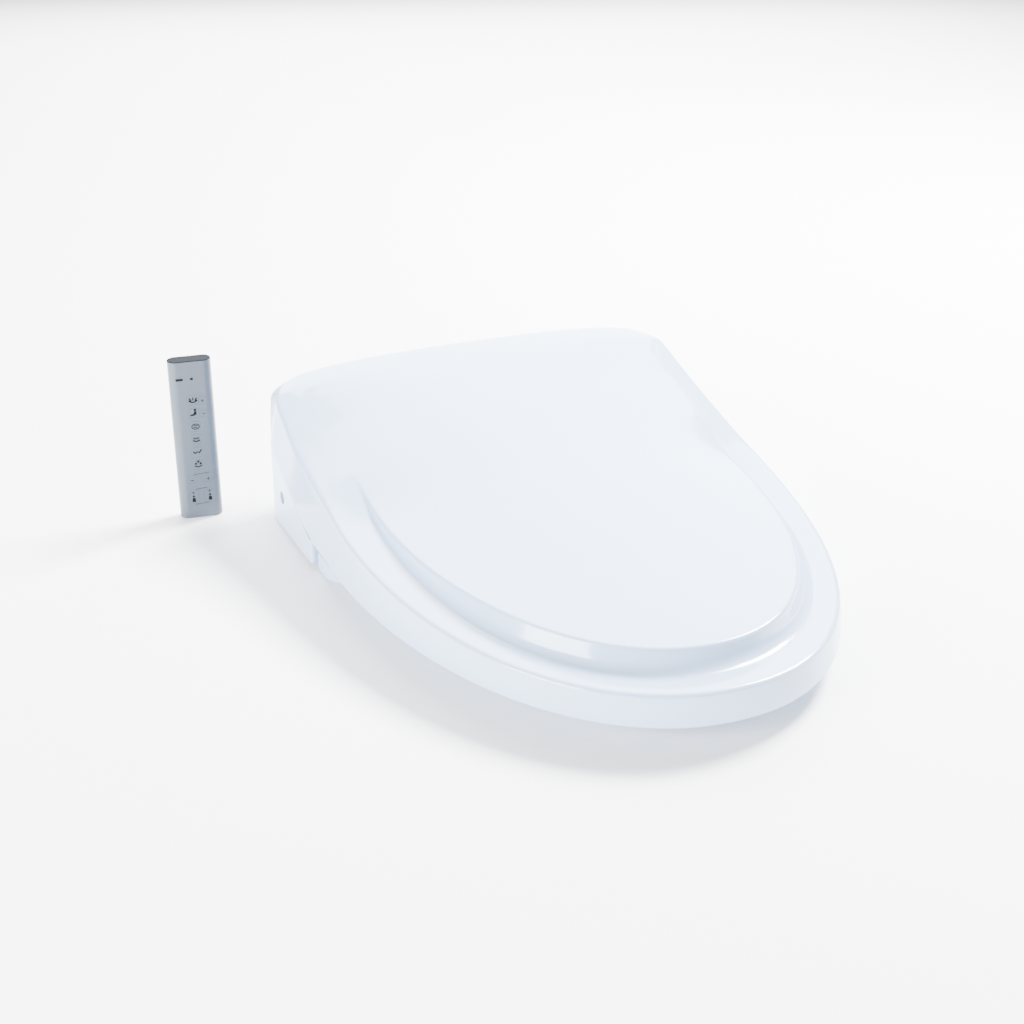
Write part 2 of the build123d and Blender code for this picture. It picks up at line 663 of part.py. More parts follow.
with BuildPart() as remote_top_cap:
    with BuildSketch(remote_plane.offset(remote_height - remote_cap)) as plan:
        SlotOverall(remote_width, remote_depth)
    extrude(amount=remote_cap)
    fillet(remote_top_cap.faces().sort_by(Axis.Z)[-1].edges(), 0.4)
    with BuildSketch(remote_plane.offset(remote_height - remote_cap - 4)) as plug:
        SlotOverall(remote_width - 2 * remote_wall, remote_depth - 2 * remote_wall)
    extrude(amount=4)
save(remote_top_cap, "remote_top_cap")

for name, (across, height, width, tall) in panel_plan.items():
    with BuildPart() as window:
        face_block(across, height, width, tall, face_depth, remote_wall)
    save(window, name)

for name, (across, height, width, tall) in key_plan.items():
    with BuildPart() as key:
        face_block(across, height, width, tall, face_depth, key_depth)
        face_edges = key.edges().filter_by(lambda edge: edge.center().Y < remote_foot[1] - 5)
        chamfer(face_edges.sort_by(Axis(on_remote(0, 0, 0), remote_rear)).group_by(
            Axis(on_remote(0, 0, 0), remote_rear))[0], 0.25)
    save(key, name)

with BuildPart() as remote_circuit_board:
    face_block(0, 75, 28, 120, -3.0, 1.2)
save(remote_circuit_board, "remote_circuit_board")

with BuildPart() as remote_batteries:
    for height in (52.0, 76.0):
        rod(on_remote(0, 0.0, height), remote_rear, 10.0, 5.0)
save(remote_batteries, "remote_batteries")

with BuildPart() as remote_battery_door:
    face_block(0, sum(door_z) / 2, 2 * door_half_width, door_z[1] - door_z[0], -face_depth - remote_wall,
               remote_wall)
    face_block(0, door_z[0] + 7, 10, 3, -face_depth - 0.8, 2, Mode.SUBTRACT)
save(remote_battery_door, "remote_battery_door")
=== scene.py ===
"""Electric bidet seat and its hand remote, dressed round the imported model.

Lengths inside the classes are millimetres in the object's own frame and become metres in make_mesh.
"""

import logging
import math
from dataclasses import dataclass
from enum import Enum
from typing import Callable, Iterable, Optional, Sequence

import bmesh
import bpy
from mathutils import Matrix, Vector


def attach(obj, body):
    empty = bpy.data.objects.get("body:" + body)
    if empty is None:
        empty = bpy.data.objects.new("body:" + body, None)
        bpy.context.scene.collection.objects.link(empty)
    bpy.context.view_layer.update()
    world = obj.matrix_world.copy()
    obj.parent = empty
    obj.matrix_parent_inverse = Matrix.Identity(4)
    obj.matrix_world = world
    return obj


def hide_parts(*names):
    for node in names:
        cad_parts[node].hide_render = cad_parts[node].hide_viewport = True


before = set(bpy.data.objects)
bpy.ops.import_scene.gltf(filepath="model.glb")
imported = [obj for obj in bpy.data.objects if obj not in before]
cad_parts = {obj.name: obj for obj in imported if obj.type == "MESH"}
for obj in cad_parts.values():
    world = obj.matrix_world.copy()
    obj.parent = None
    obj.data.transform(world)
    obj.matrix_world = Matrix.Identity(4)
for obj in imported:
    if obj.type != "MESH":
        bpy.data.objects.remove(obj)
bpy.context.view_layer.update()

log = logging.getLogger("bidet_seat")
MM = 0.001
Point = tuple[float, float, float]
Plan = tuple[float, float]

HINGE = (14.0, 96.0)  # y and z of the axis that the seat and the lid turn about
KNUCKLE = 10.0  # radius of a hinge knuckle
BORE = 4.05  # radius of the hole that takes a hinge shaft


# ------------------------------------------------------------------ small maths
def smooth(low: float, high: float, value: float) -> float:
    """Eased step.

    Args:
        low: Value where the step starts.
        high: Value where it ends.
        value: Where to read it.

    Returns:
        0 before low, 1 after high, eased between.
    """
    t = min(max((value - low) / (high - low), 0.0), 1.0)
    return t * t * (3 - 2 * t)


def mix(a: float, b: float, t: float) -> float:
    """Straight blend from a at t 0 to b at t 1."""
    return a + (b - a) * t


class Curve:
    """A smooth curve through a few stations, with slopes that never overshoot."""

    def __init__(self, *stations: Plan) -> None:
        """Store the stations.

        Args:
            stations: (position, value) pairs in rising position.
        """
        self.x = [s[0] for s in stations]
        self.y = [s[1] for s in stations]
        steps = [(self.y[i + 1] - self.y[i]) / (self.x[i + 1] - self.x[i]) for i in range(len(stations) - 1)]
        self.slope = [steps[0]]
        for before, after in zip(steps, steps[1:]):
            same_way = before * after > 0
            self.slope.append(2 * before * after / (before + after) if same_way else 0.0)
        self.slope.append(steps[-1])

    def __call__(self, at: float) -> float:
        """The curve's value.

        Args:
            at: Position, held to the first and last stations.

        Returns:
            The value there.
        """
        at = min(max(at, self.x[0]), self.x[-1])
        i = max(k for k in range(len(self.x) - 1) if self.x[k] <= at)
        span = self.x[i + 1] - self.x[i]
        t = (at - self.x[i]) / span
        a, b = self.y[i], self.y[i + 1]
        ma, mb = self.slope[i] * span, self.slope[i + 1] * span
        return (2 * t**3 - 3 * t**2 + 1) * a + (t**3 - 2 * t**2 + t) * ma + (3 * t**2 - 2 * t**3) * b + (
            t**3 - t**2
        ) * mb


def bezier(a: Plan, b: Plan, c: Plan, d: Plan, t: float) -> Plan:
    """A point on a cubic Bezier curve.

    Args:
        a: Where it starts.
        b: First control point.
        c: Second control point.
        d: Where it ends.
        t: How far along, from 0 to 1.

    Returns:
        The point.
    """
    u = 1 - t
    w = (u**3, 3 * u * u * t, 3 * u * t * t, t**3)
    return (
        w[0] * a[0] + w[1] * b[0] + w[2] * c[0] + w[3] * d[0],
        w[0] * a[1] + w[1] * b[1] + w[2] * c[1] + w[3] * d[1],
    )


# ------------------------------------------------------------------ flat outlines
def circle(a: float, b: float, radius: float, count: int = 48) -> list[Plan]:
    """Points of a circle round (a, b)."""
    return [(a + radius * math.cos(2 * math.pi * i / count), b + radius * math.sin(2 * math.pi * i / count))
            for i in range(count)]


def mirrored(half: list[Plan]) -> list[Plan]:
    """A closed outline from its +X half, which starts and ends on the middle line."""
    return half + [(-x, y) for x, y in reversed(half[1:-1])]


def stroke(points: Sequence[Plan], width: float) -> list[Plan]:
    """The outline of a line drawn with a pen of some width.

    Args:
        points: The line.
        width: The pen's width.

    Returns:
        A closed outline.
    """
    left, right = [], []
    for i, point in enumerate(points):
        before, after = points[max(i - 1, 0)], points[min(i + 1, len(points) - 1)]
        way = Vector((after[0] - before[0], after[1] - before[1])).normalized() * (width / 2)
        left.append((point[0] - way.y, point[1] + way.x))
        right.append((point[0] + way.y, point[1] - way.x))
    return left + right[::-1]


def plus(across: float, height: float, reach: float) -> list[list[Plan]]:
    """A small plus sign as one outline."""
    w = 0.25
    return [[(across + a, height + b) for a, b in (
        (-reach, -w), (-w, -w), (-w, -reach), (w, -reach), (w, -w), (reach, -w),
        (reach, w), (w, w), (w, reach), (-w, reach), (-w, w), (-reach, w))]]


def rounded(left: float, right: float, low: float, high: float, radius: float) -> list[Plan]:
    """The outline of a rounded rectangle.

    Args:
        left: Its left side.
        right: Its right side.
        low: Its lower side.
        high: Its upper side.
        radius: Its corners' radius.

    Returns:
        A closed outline.
    """
    line = []
    for cx, cy, start in ((right - radius, high - radius, 0), (left + radius, high - radius, 90),
                          (left + radius, low + radius, 180), (right - radius, low + radius, 270)):
        for i in range(7):
            a = math.radians(start + 15 * i)
            line.append((cx + radius * math.cos(a), cy + radius * math.sin(a)))
    return line


# ------------------------------------------------------------------ mesh helpers
def put(name: str, data: bpy.types.ID) -> bpy.types.Object:
    """Add an object to the scene, at the origin and unturned."""
    obj = bpy.data.objects.new(name, data)
    bpy.context.scene.collection.objects.link(obj)
    return obj


def make_mesh(name: str, verts: Sequence[Point], faces: Sequence[Sequence[int]], merge: float = 0.02,
              sharp_deg: float = 35.0, recalc: bool = True) -> bpy.types.Object:
    """Make a finished mesh object from millimetre points.

    Args:
        name: The piece's name.
        verts: Points in millimetres.
        faces: Vertex indices of each face.
        merge: Distance in millimetres below which points are joined.
        sharp_deg: Edges sharper than this stay crisp.
        recalc: Whether to point every face outwards afresh.

    Returns:
        The object, at the origin.
    """
    mesh = bpy.data.meshes.new(name)
    mesh.from_pydata([(x * MM, y * MM, z * MM) for x, y, z in verts], [], faces)
    work = bmesh.new()
    work.from_mesh(mesh)
    bmesh.ops.remove_doubles(work, verts=work.verts, dist=merge * MM)
    bmesh.ops.dissolve_degenerate(work, edges=work.edges, dist=1e-7)
    if recalc:
        bmesh.ops.recalc_face_normals(work, faces=work.faces)
    for face in work.faces:
        face.smooth = True
    limit = math.radians(sharp_deg)
    for edge in work.edges:
        if len(edge.link_faces) == 2 and edge.calc_face_angle(0.0) > limit:
            edge.smooth = False
    work.to_mesh(mesh)
    work.free()
    return put(name, mesh)


def loops(rings: Sequence[Sequence[Point]], close_ends: bool = False) -> tuple[list[Point], list[list[int]]]:
    """Join closed rings of equal count, one after the other, into a skin.

    Args:
        rings: The rings.
        close_ends: Whether to cap the first and last rings.

    Returns:
        Points and faces.
    """
    n = len(rings[0])
    verts = [p for ring in rings for p in ring]
    faces = []
    for r in range(len(rings) - 1):
        for i in range(n):
            j = (i + 1) % n
            faces.append([r * n + i, r * n + j, (r + 1) * n + j, (r + 1) * n + i])
    if close_ends:
        faces.append(list(range(n)))
        faces.append([(len(rings) - 1) * n + i for i in reversed(range(n))])
    return verts, faces


def pierced_plate(name: str, profile: list[Plan], hole: list[Plan], x_from: float,
                  x_to: float) -> bpy.types.Object:
    """A flat plate square to X with one hole, both given in (y, z).

    Args:
        name: The piece's name.
        profile: Closed outer line.
        hole: Closed inner line.
        x_from: One face.
        x_to: The other face.

    Returns:
        The object.
    """
    work = bmesh.new()
    sides = []
    for x in (x_from, x_to):
        rows = []
        for line in (profile, hole):
            row = [work.verts.new((x * MM, y * MM, z * MM)) for y, z in line]
            rows.append([work.edges.new((row[i - 1], row[i])) for i in range(len(row))])
            sides.append(row)
        bmesh.ops.triangle_fill(work, use_beauty=True, edges=[e for row in rows for e in row])
    for near, far in ((sides[0], sides[2]), (sides[1], sides[3])):
        for i in range(len(near)):
            work.faces.new((near[i - 1], near[i], far[i], far[i - 1]))
    bmesh.ops.recalc_face_normals(work, faces=work.faces)
    mesh = bpy.data.meshes.new(name)
    work.to_mesh(mesh)
    work.free()
    return put(name, mesh)


def dress(obj: bpy.types.Object, material: bpy.types.Material, body: Optional[str] = None,
          replaces: Iterable[str] = ()) -> bpy.types.Object:
    """Give a new piece its finish, its body and the nodes it stands for.

    Args:
        obj: The piece.
        material: Its finish.
        body: The body that carries it.
        replaces: Names of the nodes it stands for.

    Returns:
        The same piece.
    """
    obj.data.materials.clear()
    obj.data.materials.append(material)
    if body:
        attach(obj, body)
    names = list(replaces)
    if names:
        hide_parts(*names)
    log.info("%s: %d faces on %s", obj.name, len(obj.data.polygons), body)
    return obj


# ------------------------------------------------------------------ finishes
def linear(hex_colour: str) -> tuple[float, float, float, float]:
    """Turn an sRGB hex colour into linear values.

    Args:
        hex_colour: Such as "#e6eef6".

    Returns:
        Linear red, green, blue and an alpha of 1.
    """
    values = [int(hex_colour[i : i + 2], 16) / 255 for i in (1, 3, 5)]
    r, g, b = (v / 12.92 if v <= 0.04045 else ((v + 0.055) / 1.055) ** 2.4 for v in values)
    return (r, g, b, 1.0)


def add_node(tree: bpy.types.NodeTree, kind: str, settings: Optional[dict] = None,
             links: Optional[dict] = None) -> bpy.types.Node:
    """Add a node with its settings and links.

    Args:
        tree: The tree to add it to.
        kind: The node's type name.
        settings: Attribute or input names with their values.
        links: Input names with the output socket that feeds each.

    Returns:
        The node.
    """
    made = tree.nodes.new(kind)
    for key, value in (settings or {}).items():
        if isinstance(key, str) and hasattr(made, key):
            setattr(made, key, value)
        else:
            made.inputs[key].default_value = value
    for key, socket in (links or {}).items():
        tree.links.new(socket, made.inputs[key])
    return made


class Mould(Enum):
    """How a surface was made, which sets its fine relief."""

    POLISHED = "polished tool"
    SATIN = "fine spark-eroded tool"
    TURNED = "turned or brushed"
    SHEET = "rolled or drawn sheet"


@dataclass(frozen=True)
class Finish:
    """A real material and how its surface was made."""

    name: str
    colour: str
    second: str
    roughness: float
    spread: float
    grain_mm: float
    relief: float
    mould: Mould = Mould.POLISHED
    metallic: float = 0.0
    ior: float = 1.5
    coat: float = 0.0
    subsurface: float = 0.0
    patch_mm: float = 90.0
    emission: float = 0.0
    edge_mm: float = 0.5

    def build(self) -> bpy.types.Material:
        """Make the material: colour drifts over patches, gloss and relief follow the mould's grain.

        Returns:
            The node material.
        """
        material = bpy.data.materials.new(self.name)
        material.use_nodes = True
        tree = material.node_tree
        tree.nodes.clear()
        place = add_node(tree, "ShaderNodeTexCoord")
        where = place.outputs["Object"]
        if self.mould is Mould.TURNED:
            stretch = add_node(tree, "ShaderNodeMapping", {"Scale": (0.06, 1.0, 1.0)}, {"Vector": where})
            where = stretch.outputs["Vector"]
        patches = add_node(tree, "ShaderNodeTexNoise", {"Scale": 1000.0 / self.patch_mm, "Detail": 3.0},
                           {"Vector": place.outputs["Object"]})
        grain = add_node(tree, "ShaderNodeTexNoise",
                         {"Scale": 1000.0 / self.grain_mm, "Detail": 2.0, "Roughness": 0.6},
                         {"Vector": where})
        tint = add_node(tree, "ShaderNodeMixRGB",
                        {"Color1": linear(self.colour), "Color2": linear(self.second)},
                        {"Fac": patches.outputs["Fac"]})
        gloss = add_node(tree, "ShaderNodeMapRange",
                         {"From Min": 0.3, "From Max": 0.7, "To Min": self.roughness - self.spread,
                          "To Max": self.roughness + self.spread}, {"Value": grain.outputs["Fac"]})
        edge = add_node(tree, "ShaderNodeBevel", {"samples": 4, "Radius": self.edge_mm * MM})
        bump = add_node(tree, "ShaderNodeBump", {"Strength": self.relief, "Distance": 0.0002},
                        {"Height": grain.outputs["Fac"], "Normal": edge.outputs["Normal"]})
        shader = add_node(tree, "ShaderNodeBsdfPrincipled",
                          {"Metallic": self.metallic, "IOR": self.ior, "Coat Weight": self.coat,
                           "Coat Roughness": 0.06, "Subsurface Weight": self.subsurface,
                           "Subsurface Radius": (0.004, 0.0035, 0.003)},
                          {"Base Color": tint.outputs["Color"], "Roughness": gloss.outputs["Result"],
                           "Normal": bump.outputs["Normal"]})
        if self.subsurface:
            shader.inputs["Subsurface Scale"].default_value = 1.0
        if self.emission:
            shader.inputs["Emission Color"].default_value = linear(self.colour)
            shader.inputs["Emission Strength"].default_value = self.emission
        add_node(tree, "ShaderNodeOutputMaterial", {}, {"Surface": shader.outputs["BSDF"]})
        return material


# Glossy moulded ABS, cool white: broad soft reflections, a skin that is almost flat.
WHITE_ABS = Finish("white moulded ABS", "#b0c7e5", "#adc4e2", 0.16, 0.03, 2.4, 0.05, coat=0.25, edge_mm=0.9)
# Polypropylene of the seat: the same white, a little softer in its shine.
SEAT_PP = Finish("white moulded polypropylene", "#b1c6e3", "#adc2df", 0.24, 0.04, 1.6, 0.06, Mould.SATIN,
                 edge_mm=1.2)
# Light grey ABS of the tray and the filter cartridge: a satin tool gives it an even, dull shine.
TRAY_ABS = Finish("pale grey satin ABS", "#c3cad6", "#bcc4d0", 0.38, 0.05, 0.9, 0.12, Mould.SATIN)
# Glass-filled nylon of hidden brackets: darker, with a dry sheen.
GREY_NYLON = Finish("grey glass-filled nylon", "#7e848c", "#747a83", 0.5, 0.06, 0.7, 0.2, Mould.SATIN)
# Silver-grey paint on the remote: a faint metal flake under a satin lacquer.
REMOTE_PAINT = Finish("silver-grey satin paint", "#4c5560", "#47505b", 0.36, 0.05, 0.35, 0.1, Mould.SATIN,
                      metallic=0.15, coat=0.15, patch_mm=30)
# Dark ABS of the remote's end cap: a dry skin that reflects little of the bright room.
CAP_ABS = Finish("dark grey satin ABS", "#1b1f24", "#181c20", 0.85, 0.05, 0.5, 0.12, Mould.SATIN, ior=1.18,
                 patch_mm=20)
# Smoked polycarbonate window: nearly black and smooth, with a reflection too faint to grey it.
SMOKED = Finish("smoked polycarbonate", "#070a0e", "#06090c", 0.4, 0.02, 1.5, 0.02, ior=1.25, patch_mm=10)
# Pad-printed ink: slightly raised, matt and nearly black, so that thin marks read from afar.
INK = Finish("dark grey printed ink", "#07090b", "#050709", 0.8, 0.05, 0.2, 0.1, Mould.SATIN, ior=1.2,
             patch_mm=5)
# Frosted acrylic lens of the night light.
FROSTED = Finish("frosted acrylic", "#dfe8f0", "#d6e1ea", 0.45, 0.05, 0.4, 0.15, Mould.SATIN, ior=1.49,
                 subsurface=0.2, patch_mm=10)
# Silicone rubber feet: pale, matt, soft light through the skin.
RUBBER = Finish("pale silicone rubber", "#a9afb8", "#9fa6b0", 0.62, 0.05, 0.6, 0.2, Mould.SATIN, ior=1.41,
                subsurface=0.1, patch_mm=15)
# Silicone tube with thick walls: milky, with a soft waxy shine.
HOSE = Finish("translucent silicone hose", "#cfd4d8", "#c3c9ce", 0.4, 0.05, 0.8, 0.08, ior=1.41,
              subsurface=0.3, patch_mm=20)
# Stainless steel, turned: stretched fine lines that catch the light along one way.
STEEL = Finish("turned stainless steel", "#c4c5c7", "#b6b8bb", 0.28, 0.08, 0.8, 0.2, Mould.TURNED,
               metallic=1.0)
# Drawn and zinc-plated steel: greyer than the shafts, with a faint even spangle.
MOTOR_CAN = Finish("zinc-plated steel can", "#a9abad", "#9a9da1", 0.34, 0.08, 1.0, 0.15, Mould.SHEET,
                   metallic=1.0)
# Nickel plate on a button cell: warm and bright, with fine lines.
CELL = Finish("nickel-plated cell", "#c9c9c6", "#bdbdb9", 0.3, 0.06, 1.0, 0.15, Mould.TURNED, metallic=1.0)
# Rolled aluminium foil: bright and softly crinkled.
FOIL = Finish("aluminium heater foil", "#cfd1d4", "#c2c5c9", 0.32, 0.1, 3.0, 0.5, Mould.SHEET, metallic=1.0)
# Machined brass: fine turning lines, browned here and there by a light tarnish.
BRASS = Finish("machined brass", "#c9a45a", "#b08d47", 0.3, 0.08, 1.2, 0.2, Mould.TURNED, metallic=1.0,
               patch_mm=12)
# Green solder mask over copper, with a slight ripple.
SOLDER_MASK = Finish("green solder mask", "#1e5b3c", "#174a30", 0.3, 0.05, 1.0, 0.25, Mould.SATIN, coat=0.4,
                     patch_mm=6)
# Matt white paper on a faintly lit table: it keeps the ground near white and the shadows soft.
PALE_FLOOR = Finish("matt white studio floor", "#fbfbfb", "#f9f9f9", 0.85, 0.03, 4.0, 0.03, Mould.SATIN,
                    patch_mm=400, emission=0.2)
# Nearly black moulded nylon of the drain plug, pushed darker still as painted shade for the sunk hole it sits
# in: matt, so it reads as a dark dot.
PLUG_NYLON_AND_PAINTED_SHADE = Finish("dark nylon with painted shade", "#060708", "#050607", 0.75, 0.05, 0.5, 0.1, Mould.SATIN, ior=1.35,
                   patch_mm=8)


class Palette:
    """Every finish, built once, with the CAD nodes that wear it."""

    NODES = {
        WHITE_ABS: ["upper_case", "front_bezel", "wand_tip", "dryer_flap", "release_button", "lid_shell"],
        SEAT_PP: ["seat_top", "seat_base", "seat_rear_corners"],
        TRAY_ABS: ["lower_case", "heater_tank", "deodoriser_cartridge"],
        # the drain plug's near-black finish carries painted shade for its sunk hole
        PLUG_NYLON_AND_PAINTED_SHADE: ["drain_plug"],
        GREY_NYLON: ["base_plate", "solenoid_valve", "wand_guide", "dryer_housing", "power_supply",
                     "deodoriser_housing", "soft_close_dampers", "dryer_impeller"],
        REMOTE_PAINT: ["remote_shell", "remote_battery_door"],
        CAP_ABS: ["remote_top_cap"],
        SMOKED: ["remote_display", "remote_lamp"],
        FROSTED: ["night_light_lens"],
        RUBBER: ["base_pads", "seat_bumpers", "lid_bumpers", "wand_roller", "power_cord_gland"],
        HOSE: ["water_hoses"],
        STEEL: ["case_screws", "hinge_shafts", "wand_tube"],
        MOTOR_CAN: ["water_pump", "wand_motor", "dryer_motor"],
        CELL: ["remote_batteries"],
        FOIL: ["seat_heater"],
        BRASS: ["water_inlet"],
        SOLDER_MASK: ["control_board", "remote_circuit_board"],
    }

    def __init__(self) -> None:
        """Build every finish."""
        wanted = [*self.NODES, INK, PALE_FLOOR]
        self.made = {finish: finish.build() for finish in wanted}

    def __getitem__(self, finish: Finish) -> bpy.types.Material:
        """The built material of a finish."""
        return self.made[finish]

    def dress_nodes(self) -> None:
        """Give every CAD node its finish; the remote's keys share its paint."""
        for finish, names in self.NODES.items():
            for name in names:
                self.wear(name, finish)
        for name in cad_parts:
            if name.startswith("key_"):
                self.wear(name, REMOTE_PAINT)

    def wear(self, name: str, finish: Finish) -> None:
        """Put one finish on one CAD node.

        Args:
            name: The node's name.
            finish: What it wears.
        """
        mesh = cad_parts[name].data
        mesh.materials.clear()
        mesh.materials.append(self.made[finish])
        log.info("%s wears %s", name, finish.name)


# ------------------------------------------------------------------ lid
@dataclass(frozen=True)
class PlanShape:
    """Half of a plan outline: rear edge, rear corner, side and rounded front."""

    half: float
    side_draw: float
    rear: float
    bow: float
    corner_x: float
    corner_y: float
    side_end: float
    tip: float
    power: float
    counts: tuple[int, int, int, int] = (26, 22, 26, 74)

    def half_points(self) -> list[Plan]:
        """Follow half of the outline.

        Returns:
            Points from the middle of the rear edge round the +X side to the front tip.
        """
        n_rear, n_corner, n_side, n_front = self.counts
        bow = self.bow
        end = (self.corner_x, self.rear - bow)
        pts = []
        for i in range(n_rear):
            x = self.corner_x * i / n_rear
            pts.append((x, self.rear - bow * (x / self.corner_x) ** 2))
        reach = self.half - self.corner_x
        drop = end[1] - self.corner_y
        fall = 2 * bow / self.corner_x
        for i in range(n_corner):
            pts.append(bezier(end, (end[0] + 0.58 * reach, end[1] - 0.58 * reach * fall),
                              (self.half, self.corner_y + 0.56 * drop), (self.half, self.corner_y),
                              i / n_corner))
        front_half = self.half - self.side_draw
        for i in range(n_side):
            t = i / n_side
            pts.append((mix(self.half, front_half, t * t * (1.5 - 0.5 * t)),
                        mix(self.corner_y, self.side_end, t)))
        length = self.side_end - self.tip
        for i in range(n_front + 1):
            a = math.pi / 2 * i / n_front
            e = 2 / self.power
            pts.append((front_half * math.cos(a) ** e if i < n_front else 0.0,
                        self.side_end - length * math.sin(a) ** e))
        return pts

    def ring(self) -> list[Plan]:
        """The whole closed outline, starting at the middle of the rear edge."""
        return mirrored(self.half_points())


@dataclass(frozen=True)
class Lid:
    """The crowned lid: a raised middle, a channel round its front, and a skirt."""

    rim_plan: PlanShape = PlanShape(195.0, 3.0, 55.0, 9.5, 150.0, -5.0, -140.0, -470.0, 2.12)
    raised_plan: PlanShape = PlanShape(157.0, 0.0, 14.0, 3.0, 120.0, -40.0, -162.6, -433.8, 2.06)
    # heights and slopes along the lid, as (y, value)
    centre: Curve = Curve((-434, 61.6), (-400, 64.8), (-345, 70), (-245, 82), (-140, 97), (-50, 112.5),
                          (5, 120.8), (45, 124.4), (56, 124.7))
    crease: Curve = Curve((-471, 45.4), (-430, 45.1), (-377, 46.1), (-340, 47.9), (-295, 50.9), (-244, 55.5),
                          (-192, 61.9), (-140, 70.2), (-92, 80.3), (-50, 91), (-19, 101), (2, 108.6),
                          (15, 113.4), (30, 117.5), (56, 119))
    bend: Curve = Curve((-434, 5.0e-4), (-345, 4.8e-4), (-245, 6.7e-4), (-140, 8.8e-4), (-85, 8.2e-4),
                        (-50, 6.4e-4), (60, 4e-4))
    crown_power: Curve = Curve((-120, 2.0), (-50, 2.3), (-19, 2.8), (2, 3.6), (20, 4.6), (56, 5.0))
    flare: Curve = Curve((-470, 1.6), (-192, 2.0), (-92, 3.0), (-50, 4.2), (-20, 6.0), (2, 7.0), (56, 8.6))
    skirt_edge: Curve = Curve((-471, 20.3), (-192, 22.0), (-140, 24.0), (-112, 26.0), (-92, 30.0),
                              (-50, 45.0), (-20, 59.5), (2, 68.6), (15, 71.0), (60, 71.6))
    crown_half: float = 190.0  # half width at which the rear crown reaches the crease
    crown_last: float = 9.0  # depth of the crown at the rear edge
    wall: float = 3.0
    skirt_wall: float = 2.8
    step_fade: Plan = (-188.0, -108.0)  # where the step dies out along the lid
    wall_run: float = 3.4  # run and slope of the step's straight wall
    wall_slope: float = 2.75
    fillet: float = 11.0  # radius at the wall's foot
    full_step: float = 16.0  # the step that these three are given for
    spine: Plan = (-330.0, -70.0)  # ends of the line that the top's rings close on
    under_crease: float = 3.4  # the skirt's start below the crease
    skirt_bulge: float = 0.35
    knuckle_faces: Plan = (170.0, 177.0)
    knuckle_root: tuple[Plan, ...] = ((23.2, 104.0), (20.5, 111.5), (5.0, 107.5), (4.4, 103.0))
    # where the rings lie: shares of the way to the spine, or (inward, lower) where an edge is rounded
    top_shares: tuple[float, ...] = (1.0, 0.9, 0.8, 0.7, 0.6, 0.5, 0.42, 0.34, 0.27, 0.2, 0.145, 0.1, 0.065,
                                     0.04, 0.022)
    lip_round: tuple[Plan, ...] = ((1.6, 0.02), (0.8, 0.12), (0.25, 0.42))
    channel_runs: tuple[float, ...] = (0.35, 0.9, 1.6, 2.4, 3.3, 4.2, 5.2, 6.3, 7.5, 8.8, 10.2, 11.6, 13.2,
                                       15.0, 17.0)
    rim_round: tuple[Plan, ...] = ((12.0, 0.0), (9.0, 0.0), (6.5, 0.02), (4.6, 0.06), (3.2, 0.16),
                                   (2.1, 0.4), (1.2, 0.85), (0.55, 1.5), (0.15, 2.35))
    skirt_shares: tuple[float, ...] = (0.0, 0.12, 0.25, 0.4, 0.55, 0.7, 0.82, 0.91, 0.965)
    foot_round: tuple[Plan, ...] = ((0.12, -0.1), (0.5, -0.55), (1.1, -0.75), (1.8, -0.7), (2.4, -0.3),
                                    (2.7, 0.5))
    # the same on the way back, inside the wall
    skirt_back: tuple[float, ...] = (0.85, 0.6, 0.3, 0.08)
    rim_back: tuple[float, ...] = (3.6, 6.0, 9.0, 12.0)
    channel_back: tuple[float, ...] = (16.0, 12.5, 9.5, 7.0, 5.0, 3.4, 2.2, 1.2, 0.4)
    top_back: tuple[float, ...] = (0.02, 0.07, 0.15, 0.28, 0.42, 0.6, 0.8, 1.0)

    def crown(self, x: float, y: float) -> float:
        """Height of the whole crown, meeting the crease at the lid's full width.

        Args:
            x: Across.
            y: Along.

        Returns:
            The height.
        """
        centre = self.centre(y)
        depth = centre - self.crease(min(y, 20.0))
        if y > 2.0:
            depth = mix(depth, self.crown_last, smooth(2.0, 16.0, y))
        return centre - depth * (abs(x) / self.crown_half) ** self.crown_power(y)

    def raised(self, x: float, y: float) -> float:
        """Height of the raised middle where it stands above the channel."""
        return self.centre(y) - self.bend(y) * x * x

    def top(self, x: float, y: float, inside: float) -> float:
        """Height of the lid's top.

        Args:
            x: Across.
            y: Along.
            inside: 1 on the raised middle, 0 on the rim, between on the wall.

        Returns:
            The height.
        """
        fade = smooth(*self.step_fade, y)
        front = mix(self.crease(y), self.raised(x, y), inside) if fade < 1 else 0.0
        return mix(front, self.crown(x, y), fade)

    def fall(self, distance: float, step: float) -> float:
        """How far the surface has fallen at a distance outside the raised edge.

        Args:
            distance: Distance outwards from the raised edge.
            step: The whole height of the step there.

        Returns:
            The fall, which reaches step at the foot of the fillet.
        """
        size = max(step, 0.4) / self.full_step
        s = distance / size
        if s < self.wall_run:
            return size * s * self.wall_slope
        tilt = math.atan(self.wall_slope)
        run = self.fillet * math.sin(tilt)
        start = self.wall_run * self.wall_slope
        u = min((s - self.wall_run) / run, 1.0)
        drop = self.fillet * (1 - math.cos(tilt))
        turned = math.sin(tilt) * (1 - u)
        return size * (start + drop - self.fillet * (1 - math.sqrt(1 - turned * turned)))

    def total_fall(self) -> float:
        """The fall of a full-size step, from its edge to the foot of its fillet."""
        tilt = math.atan(self.wall_slope)
        return self.wall_run * self.wall_slope + self.fillet * (1 - math.cos(tilt))

    def edge_height(self, x: float, y: float) -> float:
        """Height of the skirt's lower edge, which steps up where the hinge needs room.

        Args:
            x: Across.
            y: Along.

        Returns:
            The height.
        """
        low = self.skirt_edge(y)
        high = min(self.top(x, min(y, 55.0), 1.0) - 7.0, 112.0 + 0.18 * max(y - 27.0, 0.0))
        return mix(low, max(high, low), smooth(15.5, 26.0, y))

